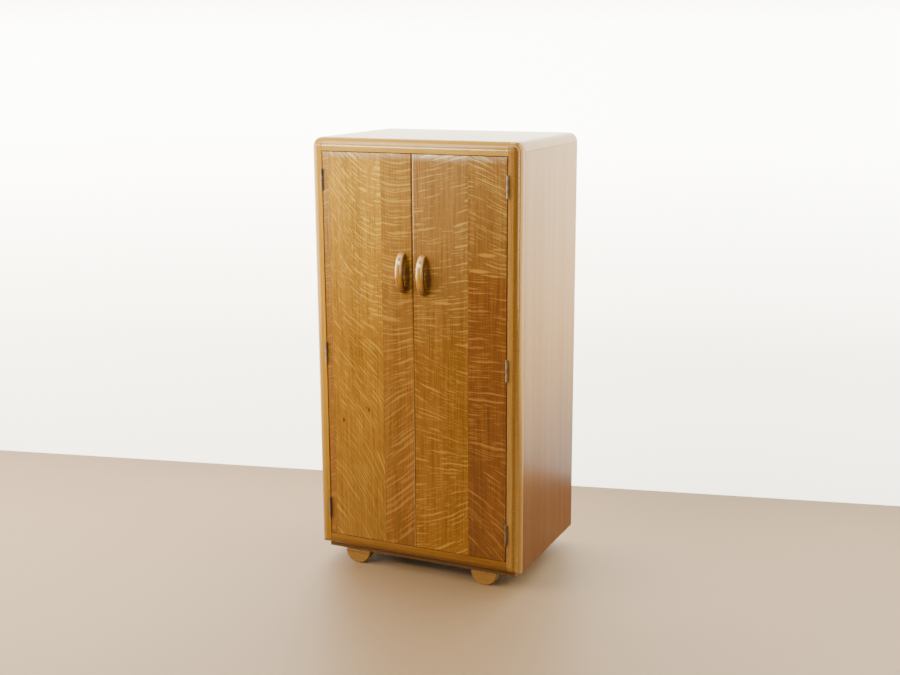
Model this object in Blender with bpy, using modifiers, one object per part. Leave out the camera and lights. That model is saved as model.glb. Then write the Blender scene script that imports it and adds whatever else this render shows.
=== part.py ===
"""A two-door oak armoire on half-disc feet: separate solid pieces, hinged doors and sprung ball catches.

The front faces -Y and +Z is up. The origin is on the floor, in the middle of the armoire's outline.
"""

import math

import bmesh
import bpy
from mathutils import Matrix, Vector

# Overall size
WIDTH = 0.660
DEPTH = 0.460
HEIGHT = 1.305
CARCASE_BOTTOM = 0.055
EDGE_RADIUS = 0.027
EDGE_SEGMENTS = 6
GAP = 0.0003
OVERSIZE = 0.010
SHARP_ANGLE = math.radians(35)

# Carcase boards
BOARD_THICKNESS = 0.027
SIDE_THICKNESS = 0.018
FRAME_WIDTH = 0.038
FRAME_DEPTH = 0.034
BACK_THICKNESS = 0.006
BACK_REBATE = 0.006

# Base and feet
BASE_THICKNESS = 0.0137
BASE_INSET_FRONT = 0.025
BASE_INSET_SIDE = 0.020
BASE_INSET_BACK = 0.012
FOOT_RADIUS = 0.0415
FOOT_HEIGHT = 0.041
FOOT_THICKNESS = 0.034
FOOT_CENTRE_X = 0.212
FOOT_INSET_FRONT = 0.022
FOOT_INSET_BACK = 0.040
FOOT_SIDES = 48

# Doors
DOOR_THICKNESS = 0.019
FACING_THICKNESS = 0.0008
HINGE_GAP = 0.0015
MEETING_GAP = 0.0020
DOOR_GAP_TOP = 0.0022
DOOR_GAP_BOTTOM = 0.0018
STRIP_SEAMS = {
    "left": {"edge": -0.2695, "outer": -0.100},
    "right": {"outer": 0.172},
}

# Handles
HANDLE_PROJECTION = 0.030
HANDLE_HALF_HEIGHT = 0.060
HANDLE_WIDTH = 0.025
HANDLE_CENTRE_X = 0.033
HANDLE_CENTRE_Z = {"left": 0.926, "right": 0.922}
HANDLE_FULLNESS = 2.1
HANDLE_TAPER = 0.30
FINGER_DEPTH = 0.0155
FINGER_HALF_HEIGHT = 0.038
FINGER_FULLNESS = 2.0
HANDLE_RINGS = 24
HANDLE_RING_POINTS = 16
SECTION_SQUARENESS = {"middle": 2.8, "feet": 2.0}
HANDLE_SCREW_OFFSET = 0.048
HANDLE_SCREW_DEPTH = 0.009
SCREW_RADIUS = 0.002
SCREW_TIP_LENGTH = 0.002
SCREW_CLEARANCE = 0.0003
SCREW_HEAD_RADIUS = 0.0042
SCREW_HEAD_HEIGHT = 0.0022

# Butt hinges
HINGE_LENGTH = 0.063
HINGE_CENTRE_Z = {"top": 1.184, "middle": 0.668, "bottom": 0.178}
LEAF_THICKNESS = 0.0015
LEAF_HALF_GAP = 0.00015
LEAF_REACH = 0.016
KNUCKLE_RADIUS = 0.0032
KNUCKLE_COUNT = 5
BORE_RADIUS = 0.0018
PIN_RADIUS = 0.0015
ROUND_SIDES = 14

# Ball catches
CATCH_X = 0.050
BALL_RADIUS = 0.004
BALL_PROJECTION = 0.0018
BALL_SEGMENTS = 16
BALL_RINGS = 10
BARREL_RADIUS = 0.0055
BARREL_WALL = 0.0012
BARREL_LIP_RADIUS = 0.0035
BARREL_LIP_HEIGHT = 0.0006
BARREL_LENGTH = 0.018
BARREL_STEPS = 20
SPRING_RADIUS = 0.0026
SPRING_WIRE_RADIUS = 0.0004
SPRING_TURNS = 5
SPRING_POINTS_A_TURN = 9
STRIKE_SIZE = Vector((0.032, 0.013, 0.001))
STRIKE_HOLE_RADIUS = 0.003
STRIKE_RECESS_DEPTH = 0.004

# Interior
STOP_WIDTH = 0.560
STOP_DEPTH = 0.012
STOP_HEIGHT = 0.010
SHELF_TOP = 1.075
SHELF_THICKNESS = 0.015
SHELF_SETBACK = 0.035
CLEAT_SECTION = (0.012, 0.025)
CLEAT_FRONT_SETBACK = 0.030
RAIL_RADIUS = 0.0095
RAIL_HEIGHT = 1.005
RAIL_FLANGE_RADIUS = 0.022
RAIL_FLANGE_THICKNESS = 0.003
RAIL_CUP_RADIUS = 0.0135
RAIL_CUP_LENGTH = 0.014
RAIL_STEPS = 24

# Derived planes
FRONT_Y = -(DEPTH - HANDLE_PROJECTION) / 2
BACK_Y = FRONT_Y + DEPTH
FRAME_BACK_Y = FRONT_Y + FRAME_DEPTH
HALF_WIDTH = WIDTH / 2
OPENING_HALF_WIDTH = HALF_WIDTH - FRAME_WIDTH
OPENING_BOTTOM = CARCASE_BOTTOM + FRAME_WIDTH
OPENING_TOP = HEIGHT - FRAME_WIDTH
DOOR_BOTTOM = OPENING_BOTTOM + DOOR_GAP_BOTTOM
DOOR_TOP = OPENING_TOP - DOOR_GAP_TOP
DOOR_BACK_Y = FRONT_Y + DOOR_THICKNESS
CORE_FRONT_Y = FRONT_Y + FACING_THICKNESS + GAP
INNER_HALF_WIDTH = HALF_WIDTH - SIDE_THICKNESS
INNER_BOTTOM = CARCASE_BOTTOM + BOARD_THICKNESS
INNER_TOP = HEIGHT - BOARD_THICKNESS
INNER_BACK_Y = BACK_Y - BACK_THICKNESS - GAP
HINGE_X = OPENING_HALF_WIDTH - HINGE_GAP / 2
HINGE_Y = FRONT_Y - KNUCKLE_RADIUS - GAP
CATCH_Y = FRONT_Y + DOOR_THICKNESS / 2 + FACING_THICKNESS / 2

SIDES = {"left": -1, "right": 1}

for old_object in list(bpy.data.objects):
    bpy.data.objects.remove(old_object, do_unlink=True)


def new_collection(name, hidden=False):
    collection = bpy.data.collections.new(name)
    collection.hide_render = hidden
    bpy.context.scene.collection.children.link(collection)
    return collection


PARTS = new_collection("armoire")
CUTTERS = new_collection("cutters", hidden=True)


def new_material(name, colour, roughness, metallic=0.0):
    material = bpy.data.materials.new(name)
    material.use_nodes = True
    shader = material.node_tree.nodes["Principled BSDF"]
    shader.inputs["Base Color"].default_value = (*colour, 1.0)
    shader.inputs["Roughness"].default_value = roughness
    shader.inputs["Metallic"].default_value = metallic
    return material


OAK_DOOR = new_material("oak_door", (0.42, 0.20, 0.055), 0.30)
OAK_FRAME = new_material("oak_frame", (0.40, 0.19, 0.055), 0.30)
OAK_PANEL = new_material("oak_panel", (0.40, 0.21, 0.090), 0.32)
OAK_HANDLE = new_material("oak_handle", (0.42, 0.17, 0.040), 0.18)
OAK_FOOT = new_material("oak_foot", (0.45, 0.22, 0.060), 0.40)
PLYWOOD = new_material("plywood", (0.50, 0.33, 0.17), 0.65)
BOARD_CORE = new_material("board_core", (0.38, 0.22, 0.10), 0.50)
HINGE_STEEL = new_material("hinge_steel", (0.20, 0.17, 0.13), 0.45, 0.9)
BRASS = new_material("brass", (0.60, 0.42, 0.18), 0.35, 1.0)
STEEL = new_material("steel", (0.45, 0.44, 0.42), 0.35, 1.0)


def world_origin(obj):
    """Where an unrotated empty stands, counting the empties above it."""
    origin = Vector()
    while obj is not None:
        origin += obj.location
        obj = obj.parent
    return origin


def place(obj, centre, parent=None):
    """Puts an object's origin at a world point, under an unrotated empty if one is given."""
    obj.parent = parent
    obj.location = Vector(centre) - world_origin(parent)


def add_object(name, mesh, centre, material=None, parent=None):
    """Adds a piece, or a hidden cutter where there is no material."""
    obj = bpy.data.objects.new(name, mesh)
    if material is None:
        obj.hide_render = True
        obj.display_type = "WIRE"
        CUTTERS.objects.link(obj)
    else:
        mesh.materials.append(material)
        PARTS.objects.link(obj)
    place(obj, centre, parent)
    return obj


def add_empty(name, centre, parent=None):
    empty = bpy.data.objects.new(name, None)
    empty.empty_display_size = 0.05
    PARTS.objects.link(empty)
    place(empty, centre, parent)
    return empty


def shade_round(mesh):
    mesh.shade_smooth()
    mesh.set_sharp_from_angle(angle=SHARP_ANGLE)


def box_mesh(name, size):
    mesh = bpy.data.meshes.new(name)
    shape = bmesh.new()
    bmesh.ops.create_cube(shape, size=1, matrix=Matrix.Diagonal((*size, 1)))
    shape.to_mesh(mesh)
    shape.free()
    return mesh


def add_box(name, low, high, material=None, parent=None):
    low, high = Vector(low), Vector(high)
    return add_object(name, box_mesh(name, high - low), (low + high) / 2, material, parent)


def rod_mesh(name, radius, length, axis, sides):
    """A closed cylinder about its own middle, along X, Y or Z."""
    turn = {
        "X": Matrix.Rotation(math.pi / 2, 4, "Y"),
        "Y": Matrix.Rotation(math.pi / 2, 4, "X"),
        "Z": Matrix.Identity(4),
    }[axis]
    mesh = bpy.data.meshes.new(name)
    shape = bmesh.new()
    bmesh.ops.create_cone(
        shape, cap_ends=True, segments=sides, radius1=radius, radius2=radius, depth=length, matrix=turn
    )
    shape.to_mesh(mesh)
    shape.free()
    shade_round(mesh)
    return mesh


def add_rod(name, radius, length, centre, axis, material=None, parent=None, sides=ROUND_SIDES):
    return add_object(name, rod_mesh(name, radius, length, axis, sides), centre, material, parent)


def boolean(target, tool, operation="DIFFERENCE"):
    modifier = target.modifiers.new(tool.name, "BOOLEAN")
    modifier.operation = operation
    modifier.solver = "EXACT"
    modifier.object = tool


def evaluated_mesh(obj, name):
    """The mesh that an object's modifiers make, in world axes, with loose caps welded on."""
    bpy.context.view_layer.update()
    graph = bpy.context.evaluated_depsgraph_get()
    mesh = bpy.data.meshes.new_from_object(obj.evaluated_get(graph))
    mesh.name = name
    mesh.transform(obj.matrix_world)
    shape = bmesh.new()
    shape.from_mesh(mesh)
    bmesh.ops.remove_doubles(shape, verts=shape.verts, dist=1e-6)
    bmesh.ops.recalc_face_normals(shape, faces=shape.faces)
    shape.to_mesh(mesh)
    shape.free()
    return mesh


def turned_object(name, profile, centre, steps, material, parent=None, axis="Z"):
    """A profile of (radius, height) points, from the top down its outer side, turned about an axis."""
    mesh = bpy.data.meshes.new(name)
    points = [(radius, 0, height) for radius, height in profile]
    mesh.from_pydata(points, [(i, i + 1) for i in range(len(points) - 1)], [])
    obj = add_object(name, mesh, centre, material, parent)
    screw = obj.modifiers.new("turn", "SCREW")
    screw.steps = screw.render_steps = steps
    screw.use_merge_vertices = True
    screw.merge_threshold = 0.00001
    screw.use_smooth_shade = False
    if axis != "Z":
        obj.rotation_euler = {
            "X": (0, math.pi / 2, 0),
            "-X": (0, -math.pi / 2, 0),
            "-Y": (math.pi / 2, 0, 0),
        }[axis]
    return obj


def rounded_envelope():
    """The carcase's outer form: a box with rounded edges.

    The four edges around the back and the two along the bottom of the sides stay square.
    """
    size = (WIDTH, DEPTH, HEIGHT - CARCASE_BOTTOM)
    mesh = box_mesh("envelope", size)
    shape = bmesh.new()
    shape.from_mesh(mesh)
    rounded = []
    for edge in shape.edges:
        first, second = (vert.co for vert in edge.verts)
        around_back = first.y > 0 and second.y > 0
        under_side = first.z < 0 and second.z < 0 and first.x * second.x > 0
        if not around_back and not under_side:
            rounded.append(edge)
    bmesh.ops.bevel(
        shape,
        geom=rounded,
        offset=EDGE_RADIUS,
        offset_type="OFFSET",
        segments=EDGE_SEGMENTS,
        profile=0.5,
        affect="EDGES",
    )
    shape.to_mesh(mesh)
    shape.free()
    centre = (0, (FRONT_Y + BACK_Y) / 2, (CARCASE_BOTTOM + HEIGHT) / 2)
    return add_object("envelope", mesh, centre)


ENVELOPE = rounded_envelope()


def enveloped_box(name, low, high, material):
    """A board whose outer faces follow the carcase's rounded form."""
    board = add_box(name, low, high, material)
    boolean(board, ENVELOPE, "INTERSECT")
    return board


def build_frame():
    """Two full-height stiles with two rails between them."""
    low_y, high_y = FRONT_Y - OVERSIZE, FRAME_BACK_Y
    low_z, high_z = CARCASE_BOTTOM - OVERSIZE, HEIGHT + OVERSIZE
    pieces = {}
    for side, sign in SIDES.items():
        outer, inner = sign * (HALF_WIDTH + OVERSIZE), sign * OPENING_HALF_WIDTH
        low = (min(outer, inner), low_y, low_z)
        high = (max(outer, inner), high_y, high_z)
        pieces[f"stile_{side}"] = enveloped_box(f"stile_{side}", low, high, OAK_FRAME)
    reach = OPENING_HALF_WIDTH - GAP
    pieces["top_rail"] = enveloped_box(
        "top_rail", (-reach, low_y, OPENING_TOP), (reach, high_y, high_z), OAK_FRAME
    )
    pieces["bottom_rail"] = enveloped_box(
        "bottom_rail", (-reach, low_y, low_z), (reach, high_y, OPENING_BOTTOM), OAK_FRAME
    )
    return pieces


def build_boards():
    """A top with quarter-round ends on two sides, a bottom between them, and a back in rebates."""
    low_y = FRAME_BACK_Y + GAP
    wide = HALF_WIDTH + OVERSIZE
    top = enveloped_box(
        "top_board", (-wide, low_y, INNER_TOP), (wide, BACK_Y + OVERSIZE, HEIGHT + OVERSIZE), OAK_PANEL
    )
    reach = INNER_HALF_WIDTH - GAP
    bottom = add_box(
        "bottom_board", (-reach, low_y, CARCASE_BOTTOM), (reach, BACK_Y, INNER_BOTTOM), OAK_PANEL
    )
    panels = [top, bottom]
    for side, sign in SIDES.items():
        edges = sorted((sign * INNER_HALF_WIDTH, sign * HALF_WIDTH))
        low = (edges[0], low_y, CARCASE_BOTTOM)
        high = (edges[1], BACK_Y, INNER_TOP - GAP)
        panels.append(add_box(f"side_panel_{side}", low, high, OAK_PANEL))
    half_width = INNER_HALF_WIDTH + BACK_REBATE
    low_z, high_z = INNER_BOTTOM - BACK_REBATE, INNER_TOP + BACK_REBATE
    rebate = add_box(
        "back_rebate",
        (-half_width, INNER_BACK_Y, low_z),
        (half_width, BACK_Y + OVERSIZE, high_z),
    )
    for panel in panels:
        boolean(panel, rebate)
    half_width -= GAP
    add_box(
        "back_panel",
        (-half_width, BACK_Y - BACK_THICKNESS, low_z + GAP),
        (half_width, BACK_Y, high_z - GAP),
        PLYWOOD,
    )


def foot_mesh():
    """A half-disc standing on a narrow flat."""
    mesh = rod_mesh("foot", FOOT_RADIUS, FOOT_THICKNESS, "Y", FOOT_SIDES)
    shape = bmesh.new()
    shape.from_mesh(mesh)
    for height, keep_below in ((0, True), (-FOOT_HEIGHT, False)):
        everything = shape.verts[:] + shape.edges[:] + shape.faces[:]
        cut = bmesh.ops.bisect_plane(
            shape,
            geom=everything,
            plane_co=(0, 0, height),
            plane_no=(0, 0, 1),
            clear_outer=keep_below,
            clear_inner=not keep_below,
        )
        rim = [item for item in cut["geom_cut"] if isinstance(item, bmesh.types.BMEdge)]
        bmesh.ops.contextual_create(shape, geom=rim)
    shape.to_mesh(mesh)
    shape.free()
    return mesh


def build_base():
    board_bottom = CARCASE_BOTTOM - GAP - BASE_THICKNESS
    half_width = HALF_WIDTH - BASE_INSET_SIDE
    add_box(
        "base_board",
        (-half_width, FRONT_Y + BASE_INSET_FRONT, board_bottom),
        (half_width, BACK_Y - BASE_INSET_BACK, CARCASE_BOTTOM - GAP),
        OAK_FRAME,
    )
    foot_top = board_bottom - GAP
    front_y = FRONT_Y + FOOT_INSET_FRONT + FOOT_THICKNESS / 2
    back_y = BACK_Y - FOOT_INSET_BACK - FOOT_THICKNESS / 2
    mesh = foot_mesh()
    for end, centre_y in (("front", front_y), ("back", back_y)):
        for side, sign in SIDES.items():
            centre = (sign * FOOT_CENTRE_X, centre_y, FOOT_HEIGHT)
            foot = add_object(f"foot_{end}_{side}", mesh.copy(), centre, OAK_FOOT)
            trim = add_box(
                f"foot_top_{end}_{side}",
                (centre[0] - 2 * FOOT_RADIUS, centre_y - FOOT_THICKNESS, foot_top),
                (centre[0] + 2 * FOOT_RADIUS, centre_y + FOOT_THICKNESS, FOOT_HEIGHT + OVERSIZE),
            )
            boolean(foot, trim)


def build_interior():
    """A door stop, a hat shelf on cleats, and a hanging rail between two cups."""
    stop_front_y = DOOR_BACK_Y + 2 * GAP
    stop_top = OPENING_TOP - GAP
    add_box(
        "door_stop",
        (-STOP_WIDTH / 2, stop_front_y, stop_top - STOP_HEIGHT),
        (STOP_WIDTH / 2, stop_front_y + STOP_DEPTH, stop_top),
        BOARD_CORE,
    )
    reach = INNER_HALF_WIDTH - GAP
    shelf_front_y = FRAME_BACK_Y + SHELF_SETBACK
    shelf_bottom = SHELF_TOP - SHELF_THICKNESS
    add_box(
        "hat_shelf",
        (-reach, shelf_front_y, shelf_bottom),
        (reach, INNER_BACK_Y - GAP, SHELF_TOP),
        BOARD_CORE,
    )
    width, height = CLEAT_SECTION
    for side, sign in SIDES.items():
        edges = sorted((sign * reach, sign * (reach - width)))
        add_box(
            f"shelf_cleat_{side}",
            (edges[0], shelf_front_y + CLEAT_FRONT_SETBACK, shelf_bottom - GAP - height),
            (edges[1], INNER_BACK_Y - GAP, shelf_bottom - GAP),
            BOARD_CORE,
        )
    build_hanging_rail(reach)


def build_hanging_rail(reach):
    centre_y = (FRAME_BACK_Y + INNER_BACK_Y) / 2
    bore_radius = RAIL_RADIUS + GAP
    cup = [
        (0, RAIL_FLANGE_THICKNESS),
        (bore_radius, RAIL_FLANGE_THICKNESS),
        (bore_radius, RAIL_CUP_LENGTH),
        (RAIL_CUP_RADIUS, RAIL_CUP_LENGTH),
        (RAIL_CUP_RADIUS, RAIL_FLANGE_THICKNESS),
        (RAIL_FLANGE_RADIUS, RAIL_FLANGE_THICKNESS),
        (RAIL_FLANGE_RADIUS, 0),
        (0, 0),
    ]
    for side, sign in SIDES.items():
        centre = (sign * reach, centre_y, RAIL_HEIGHT)
        axis = "-X" if sign > 0 else "X"
        turned_object(f"rail_socket_{side}", cup, centre, RAIL_STEPS, BRASS, axis=axis)
    length = 2 * (reach - RAIL_FLANGE_THICKNESS - GAP)
    centre = (0, centre_y, RAIL_HEIGHT)
    add_rod("hanging_rail", RAIL_RADIUS, length, centre, "X", BRASS, sides=RAIL_STEPS)


def leaf_mesh(name, sign, own_first):
    """One hinge leaf about the pin's axis: a plate to one side, windowed for the other leaf's knuckles."""
    pitch = HINGE_LENGTH / KNUCKLE_COUNT
    inner, outer = sorted((sign * LEAF_HALF_GAP, sign * (LEAF_HALF_GAP + LEAF_THICKNESS)))
    reach = FRONT_Y - HINGE_Y + LEAF_REACH
    plate = add_box(
        name, (inner, 0, -HINGE_LENGTH / 2), (outer, reach, HINGE_LENGTH / 2)
    )
    tools = []
    for index in range(KNUCKLE_COUNT):
        centre_z = -HINGE_LENGTH / 2 + (index + 0.5) * pitch
        if index % 2 == own_first:
            knuckle = add_rod(
                f"{name}_knuckle_{index}", KNUCKLE_RADIUS, pitch - GAP, (0, 0, centre_z), "Z"
            )
            boolean(plate, knuckle, "UNION")
            tools.append(knuckle)
            continue
        end = OVERSIZE if index in (0, KNUCKLE_COUNT - 1) else 0
        window = add_box(
            f"{name}_window_{index}",
            (-OVERSIZE, -OVERSIZE, centre_z - (pitch + GAP) / 2 - end),
            (OVERSIZE, KNUCKLE_RADIUS + GAP, centre_z + (pitch + GAP) / 2 + end),
        )
        boolean(plate, window)
        tools.append(window)
    bore = add_rod(f"{name}_bore", BORE_RADIUS, HINGE_LENGTH + OVERSIZE, (0, 0, 0), "Z")
    boolean(plate, bore)
    mesh = evaluated_mesh(plate, name)
    for helper in (*tools, bore, plate):
        bpy.data.objects.remove(helper, do_unlink=True)
    return mesh


def build_hinges(side, stile, door_pieces, door_empty):
    """Three butt hinges, let into the stile's edge and the door's edge."""
    sign = SIDES[side]
    frame_leaf = leaf_mesh(f"frame_leaf_{side}", sign, 0)
    door_leaf = leaf_mesh(f"door_leaf_{side}", -sign, 1)
    frame_leaf.materials.append(HINGE_STEEL)
    door_leaf.materials.append(HINGE_STEEL)
    pocket_half_width = LEAF_HALF_GAP + LEAF_THICKNESS + GAP
    for level, centre_z in HINGE_CENTRE_Z.items():
        centre = Vector((sign * HINGE_X, HINGE_Y, centre_z))
        for owner, mesh, parent in (("frame", frame_leaf, None), ("door", door_leaf, door_empty)):
            leaf = bpy.data.objects.new(f"hinge_{owner}_leaf_{side}_{level}", mesh)
            PARTS.objects.link(leaf)
            place(leaf, centre, parent)
        add_rod(
            f"hinge_pin_{side}_{level}", PIN_RADIUS, HINGE_LENGTH, centre, "Z", HINGE_STEEL
        )
        low = (centre.x - pocket_half_width, HINGE_Y, centre_z - HINGE_LENGTH / 2 - GAP)
        high = (
            centre.x + pocket_half_width,
            FRONT_Y + LEAF_REACH + GAP,
            centre_z + HINGE_LENGTH / 2 + GAP,
        )
        boolean(stile, add_box(f"stile_pocket_{side}_{level}", low, high))
        door_pocket = add_box(f"door_pocket_{side}_{level}", low, high, parent=door_empty)
        for piece in door_pieces:
            boolean(piece, door_pocket)


def arch_point(half_height, rise, fullness, t):
    """A point on an arch, as (out, up), from its lower foot at t = -1 to its upper foot at t = 1.

    A fullness of 2 is half an ellipse, and more is squarer.
    """
    angle = t * math.pi / 2
    out = rise * max(math.cos(angle), 0) ** (2 / fullness)
    up = half_height * math.copysign(abs(math.sin(angle)) ** (2 / fullness), angle)
    return Vector((out, up))


def handle_mesh():
    """A half-moon pull: rounded sections lofted along an arch, narrowing into a foot at each end.

    Each section spans from the arch over the hand to the arch under the fingers. Those at the
    ends lie flat on the door.
    """
    mesh = bpy.data.meshes.new("handle")
    shape = bmesh.new()
    rings = []
    for ring_index in range(HANDLE_RINGS + 1):
        t = -1 + 2 * ring_index / HANDLE_RINGS
        over = arch_point(HANDLE_HALF_HEIGHT, HANDLE_PROJECTION - GAP, HANDLE_FULLNESS, t)
        under = arch_point(FINGER_HALF_HEIGHT, FINGER_DEPTH, FINGER_FULLNESS, t)
        middle, reach = (over + under) / 2, (over - under) / 2
        foot_share = abs(t) ** 3
        half_width = HANDLE_WIDTH / 2 * (1 - HANDLE_TAPER * foot_share)
        squareness = (
            SECTION_SQUARENESS["middle"] * (1 - foot_share) + SECTION_SQUARENESS["feet"] * foot_share
        )
        ring = []
        for point_index in range(HANDLE_RING_POINTS):
            angle = 2 * math.pi * point_index / HANDLE_RING_POINTS
            cosine, sine = math.cos(angle), math.sin(angle)
            point = middle + reach * math.copysign(abs(cosine) ** (2 / squareness), cosine)
            across = half_width * math.copysign(abs(sine) ** (2 / squareness), sine)
            ring.append(shape.verts.new((across, -point.x, point.y)))
        rings.append(ring)
    for lower, upper in zip(rings, rings[1:]):
        for i in range(HANDLE_RING_POINTS):
            j = (i + 1) % HANDLE_RING_POINTS
            shape.faces.new((lower[i], lower[j], upper[j], upper[i]))
    shape.faces.new(rings[0])
    shape.faces.new(rings[-1])
    bmesh.ops.recalc_face_normals(shape, faces=shape.faces)
    shape.to_mesh(mesh)
    shape.free()
    shade_round(mesh)
    return mesh


def build_handle(side, door_pieces, door_empty):
    """A handle and its two screws, driven through the door from inside."""
    sign = SIDES[side]
    face_y = FRONT_Y - GAP
    centre = Vector((sign * HANDLE_CENTRE_X, face_y, HANDLE_CENTRE_Z[side]))
    handle = add_object(f"handle_{side}", handle_mesh(), centre, OAK_HANDLE, door_empty)
    tip_y = face_y - HANDLE_SCREW_DEPTH
    head_y = DOOR_BACK_Y + GAP
    for place_name, offset in (("upper", HANDLE_SCREW_OFFSET), ("lower", -HANDLE_SCREW_OFFSET)):
        axis_point = Vector((centre.x, 0, centre.z + offset))
        hole_radius = SCREW_RADIUS + SCREW_CLEARANCE
        hole_low, hole_high = tip_y - GAP, DOOR_BACK_Y + OVERSIZE
        hole = add_rod(
            f"handle_hole_{side}_{place_name}",
            hole_radius,
            hole_high - hole_low,
            axis_point + Vector((0, (hole_low + hole_high) / 2, 0)),
            "Y",
            parent=door_empty,
        )
        for piece in (handle, *door_pieces):
            boolean(piece, hole)
        length = head_y - tip_y
        profile = [
            (0, 0),
            (SCREW_RADIUS, -SCREW_TIP_LENGTH),
            (SCREW_RADIUS, -length),
            (SCREW_HEAD_RADIUS, -length),
            (SCREW_HEAD_RADIUS, -length - SCREW_HEAD_HEIGHT / 2),
            (SCREW_HEAD_RADIUS / 2, -length - SCREW_HEAD_HEIGHT),
            (0, -length - SCREW_HEAD_HEIGHT),
        ]
        turned_object(
            f"handle_screw_{side}_{place_name}",
            profile,
            axis_point + Vector((0, tip_y, 0)),
            ROUND_SIDES,
            STEEL,
            door_empty,
            axis="-Y",
        )


def spring_mesh(height):
    """A coil of round wire, standing on its own origin."""
    curve = bpy.data.curves.new("spring_wire", "CURVE")
    curve.dimensions = "3D"
    curve.bevel_depth = SPRING_WIRE_RADIUS
    curve.bevel_resolution = 1
    curve.use_fill_caps = True
    count = SPRING_TURNS * SPRING_POINTS_A_TURN + 1
    spline = curve.splines.new("POLY")
    spline.points.add(count - 1)
    rise = height - 2 * SPRING_WIRE_RADIUS
    for i, point in enumerate(spline.points):
        angle = 2 * math.pi * i / SPRING_POINTS_A_TURN
        level = SPRING_WIRE_RADIUS + rise * i / (count - 1)
        point.co = (SPRING_RADIUS * math.cos(angle), SPRING_RADIUS * math.sin(angle), level, 1)
    wire = bpy.data.objects.new("spring_wire", curve)
    CUTTERS.objects.link(wire)
    mesh = evaluated_mesh(wire, "spring")
    bpy.data.objects.remove(wire, do_unlink=True)
    return mesh


def build_catch(side, door_core, top_rail, door_empty):
    """A sprung ball in a brass barrel, let into the door's top edge under a strike plate."""
    centre = Vector((SIDES[side] * CATCH_X, CATCH_Y, DOOR_TOP))
    bore_radius = BARREL_RADIUS - BARREL_WALL
    barrel_bottom = -BARREL_LENGTH
    floor = barrel_bottom + BARREL_WALL
    barrel = [
        (0, floor),
        (bore_radius, floor),
        (bore_radius, -BARREL_LIP_HEIGHT),
        (BARREL_LIP_RADIUS, 0),
        (BARREL_RADIUS, 0),
        (BARREL_RADIUS, barrel_bottom),
        (0, barrel_bottom),
    ]
    turned_object(f"catch_barrel_{side}", barrel, centre, BARREL_STEPS, BRASS, door_empty)
    socket_depth = BARREL_LENGTH + GAP
    socket = add_rod(
        f"catch_socket_{side}",
        BARREL_RADIUS + GAP,
        socket_depth + OVERSIZE,
        centre + Vector((0, 0, (OVERSIZE - socket_depth) / 2)),
        "Z",
        parent=door_empty,
        sides=BARREL_STEPS,
    )
    boolean(door_core, socket)

    ball_centre = centre + Vector((0, 0, BALL_PROJECTION - BALL_RADIUS))
    ball_empty = add_empty(f"catch_axis_{side}", ball_centre, door_empty)
    ball_mesh = bpy.data.meshes.new("catch_ball")
    shape = bmesh.new()
    bmesh.ops.create_uvsphere(
        shape, u_segments=BALL_SEGMENTS, v_segments=BALL_RINGS, radius=BALL_RADIUS
    )
    shape.to_mesh(ball_mesh)
    shape.free()
    shade_round(ball_mesh)
    add_object(f"catch_ball_{side}", ball_mesh, ball_centre, STEEL, ball_empty)

    spring_bottom = centre.z + floor + GAP
    spring_height = ball_centre.z - BALL_RADIUS - GAP - spring_bottom
    add_object(
        f"catch_spring_{side}",
        spring_mesh(spring_height),
        (centre.x, centre.y, spring_bottom),
        STEEL,
        door_empty,
    )
    build_strike(side, centre, top_rail)


def build_strike(side, centre, top_rail):
    """A plate with a hole for the ball, let in flush under the top rail."""
    half = Vector((STRIKE_SIZE.x / 2, STRIKE_SIZE.y / 2, 0))
    low = Vector((centre.x, centre.y, OPENING_TOP)) - half
    high = low + STRIKE_SIZE
    strike = add_box(f"catch_strike_{side}", low, high, BRASS)
    hole_centre = (centre.x, centre.y, OPENING_TOP)
    hole = add_rod(f"strike_hole_{side}", STRIKE_HOLE_RADIUS, 2 * OVERSIZE, hole_centre, "Z")
    boolean(strike, hole)
    margin = Vector((GAP, GAP, 0))
    pocket = add_box(
        f"strike_pocket_{side}",
        low - margin - Vector((0, 0, OVERSIZE)),
        high + margin + Vector((0, 0, GAP)),
    )
    recess = add_rod(
        f"strike_recess_{side}",
        STRIKE_HOLE_RADIUS + GAP,
        STRIKE_RECESS_DEPTH + OVERSIZE,
        (centre.x, centre.y, OPENING_TOP + (STRIKE_RECESS_DEPTH - OVERSIZE) / 2),
        "Z",
    )
    boolean(top_rail, pocket)
    boolean(top_rail, recess)


def add_facings(side, hinge_edge, meeting_edge, door_empty):
    """Veneer strips from the hinge edge to the meeting edge, a hair apart at each seam."""
    inward = -SIDES[side]
    strips = {**STRIP_SEAMS[side], "inner": meeting_edge}
    facings = []
    start = hinge_edge
    for strip, seam in strips.items():
        end = seam if strip == "inner" else seam - inward * GAP / 2
        low_x, high_x = sorted((start, end))
        facing = add_box(
            f"door_facing_{side}_{strip}",
            (low_x, FRONT_Y, DOOR_BOTTOM),
            (high_x, FRONT_Y + FACING_THICKNESS, DOOR_TOP),
            OAK_DOOR,
            door_empty,
        )
        facings.append(facing)
        start = end + inward * GAP
    return facings


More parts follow.
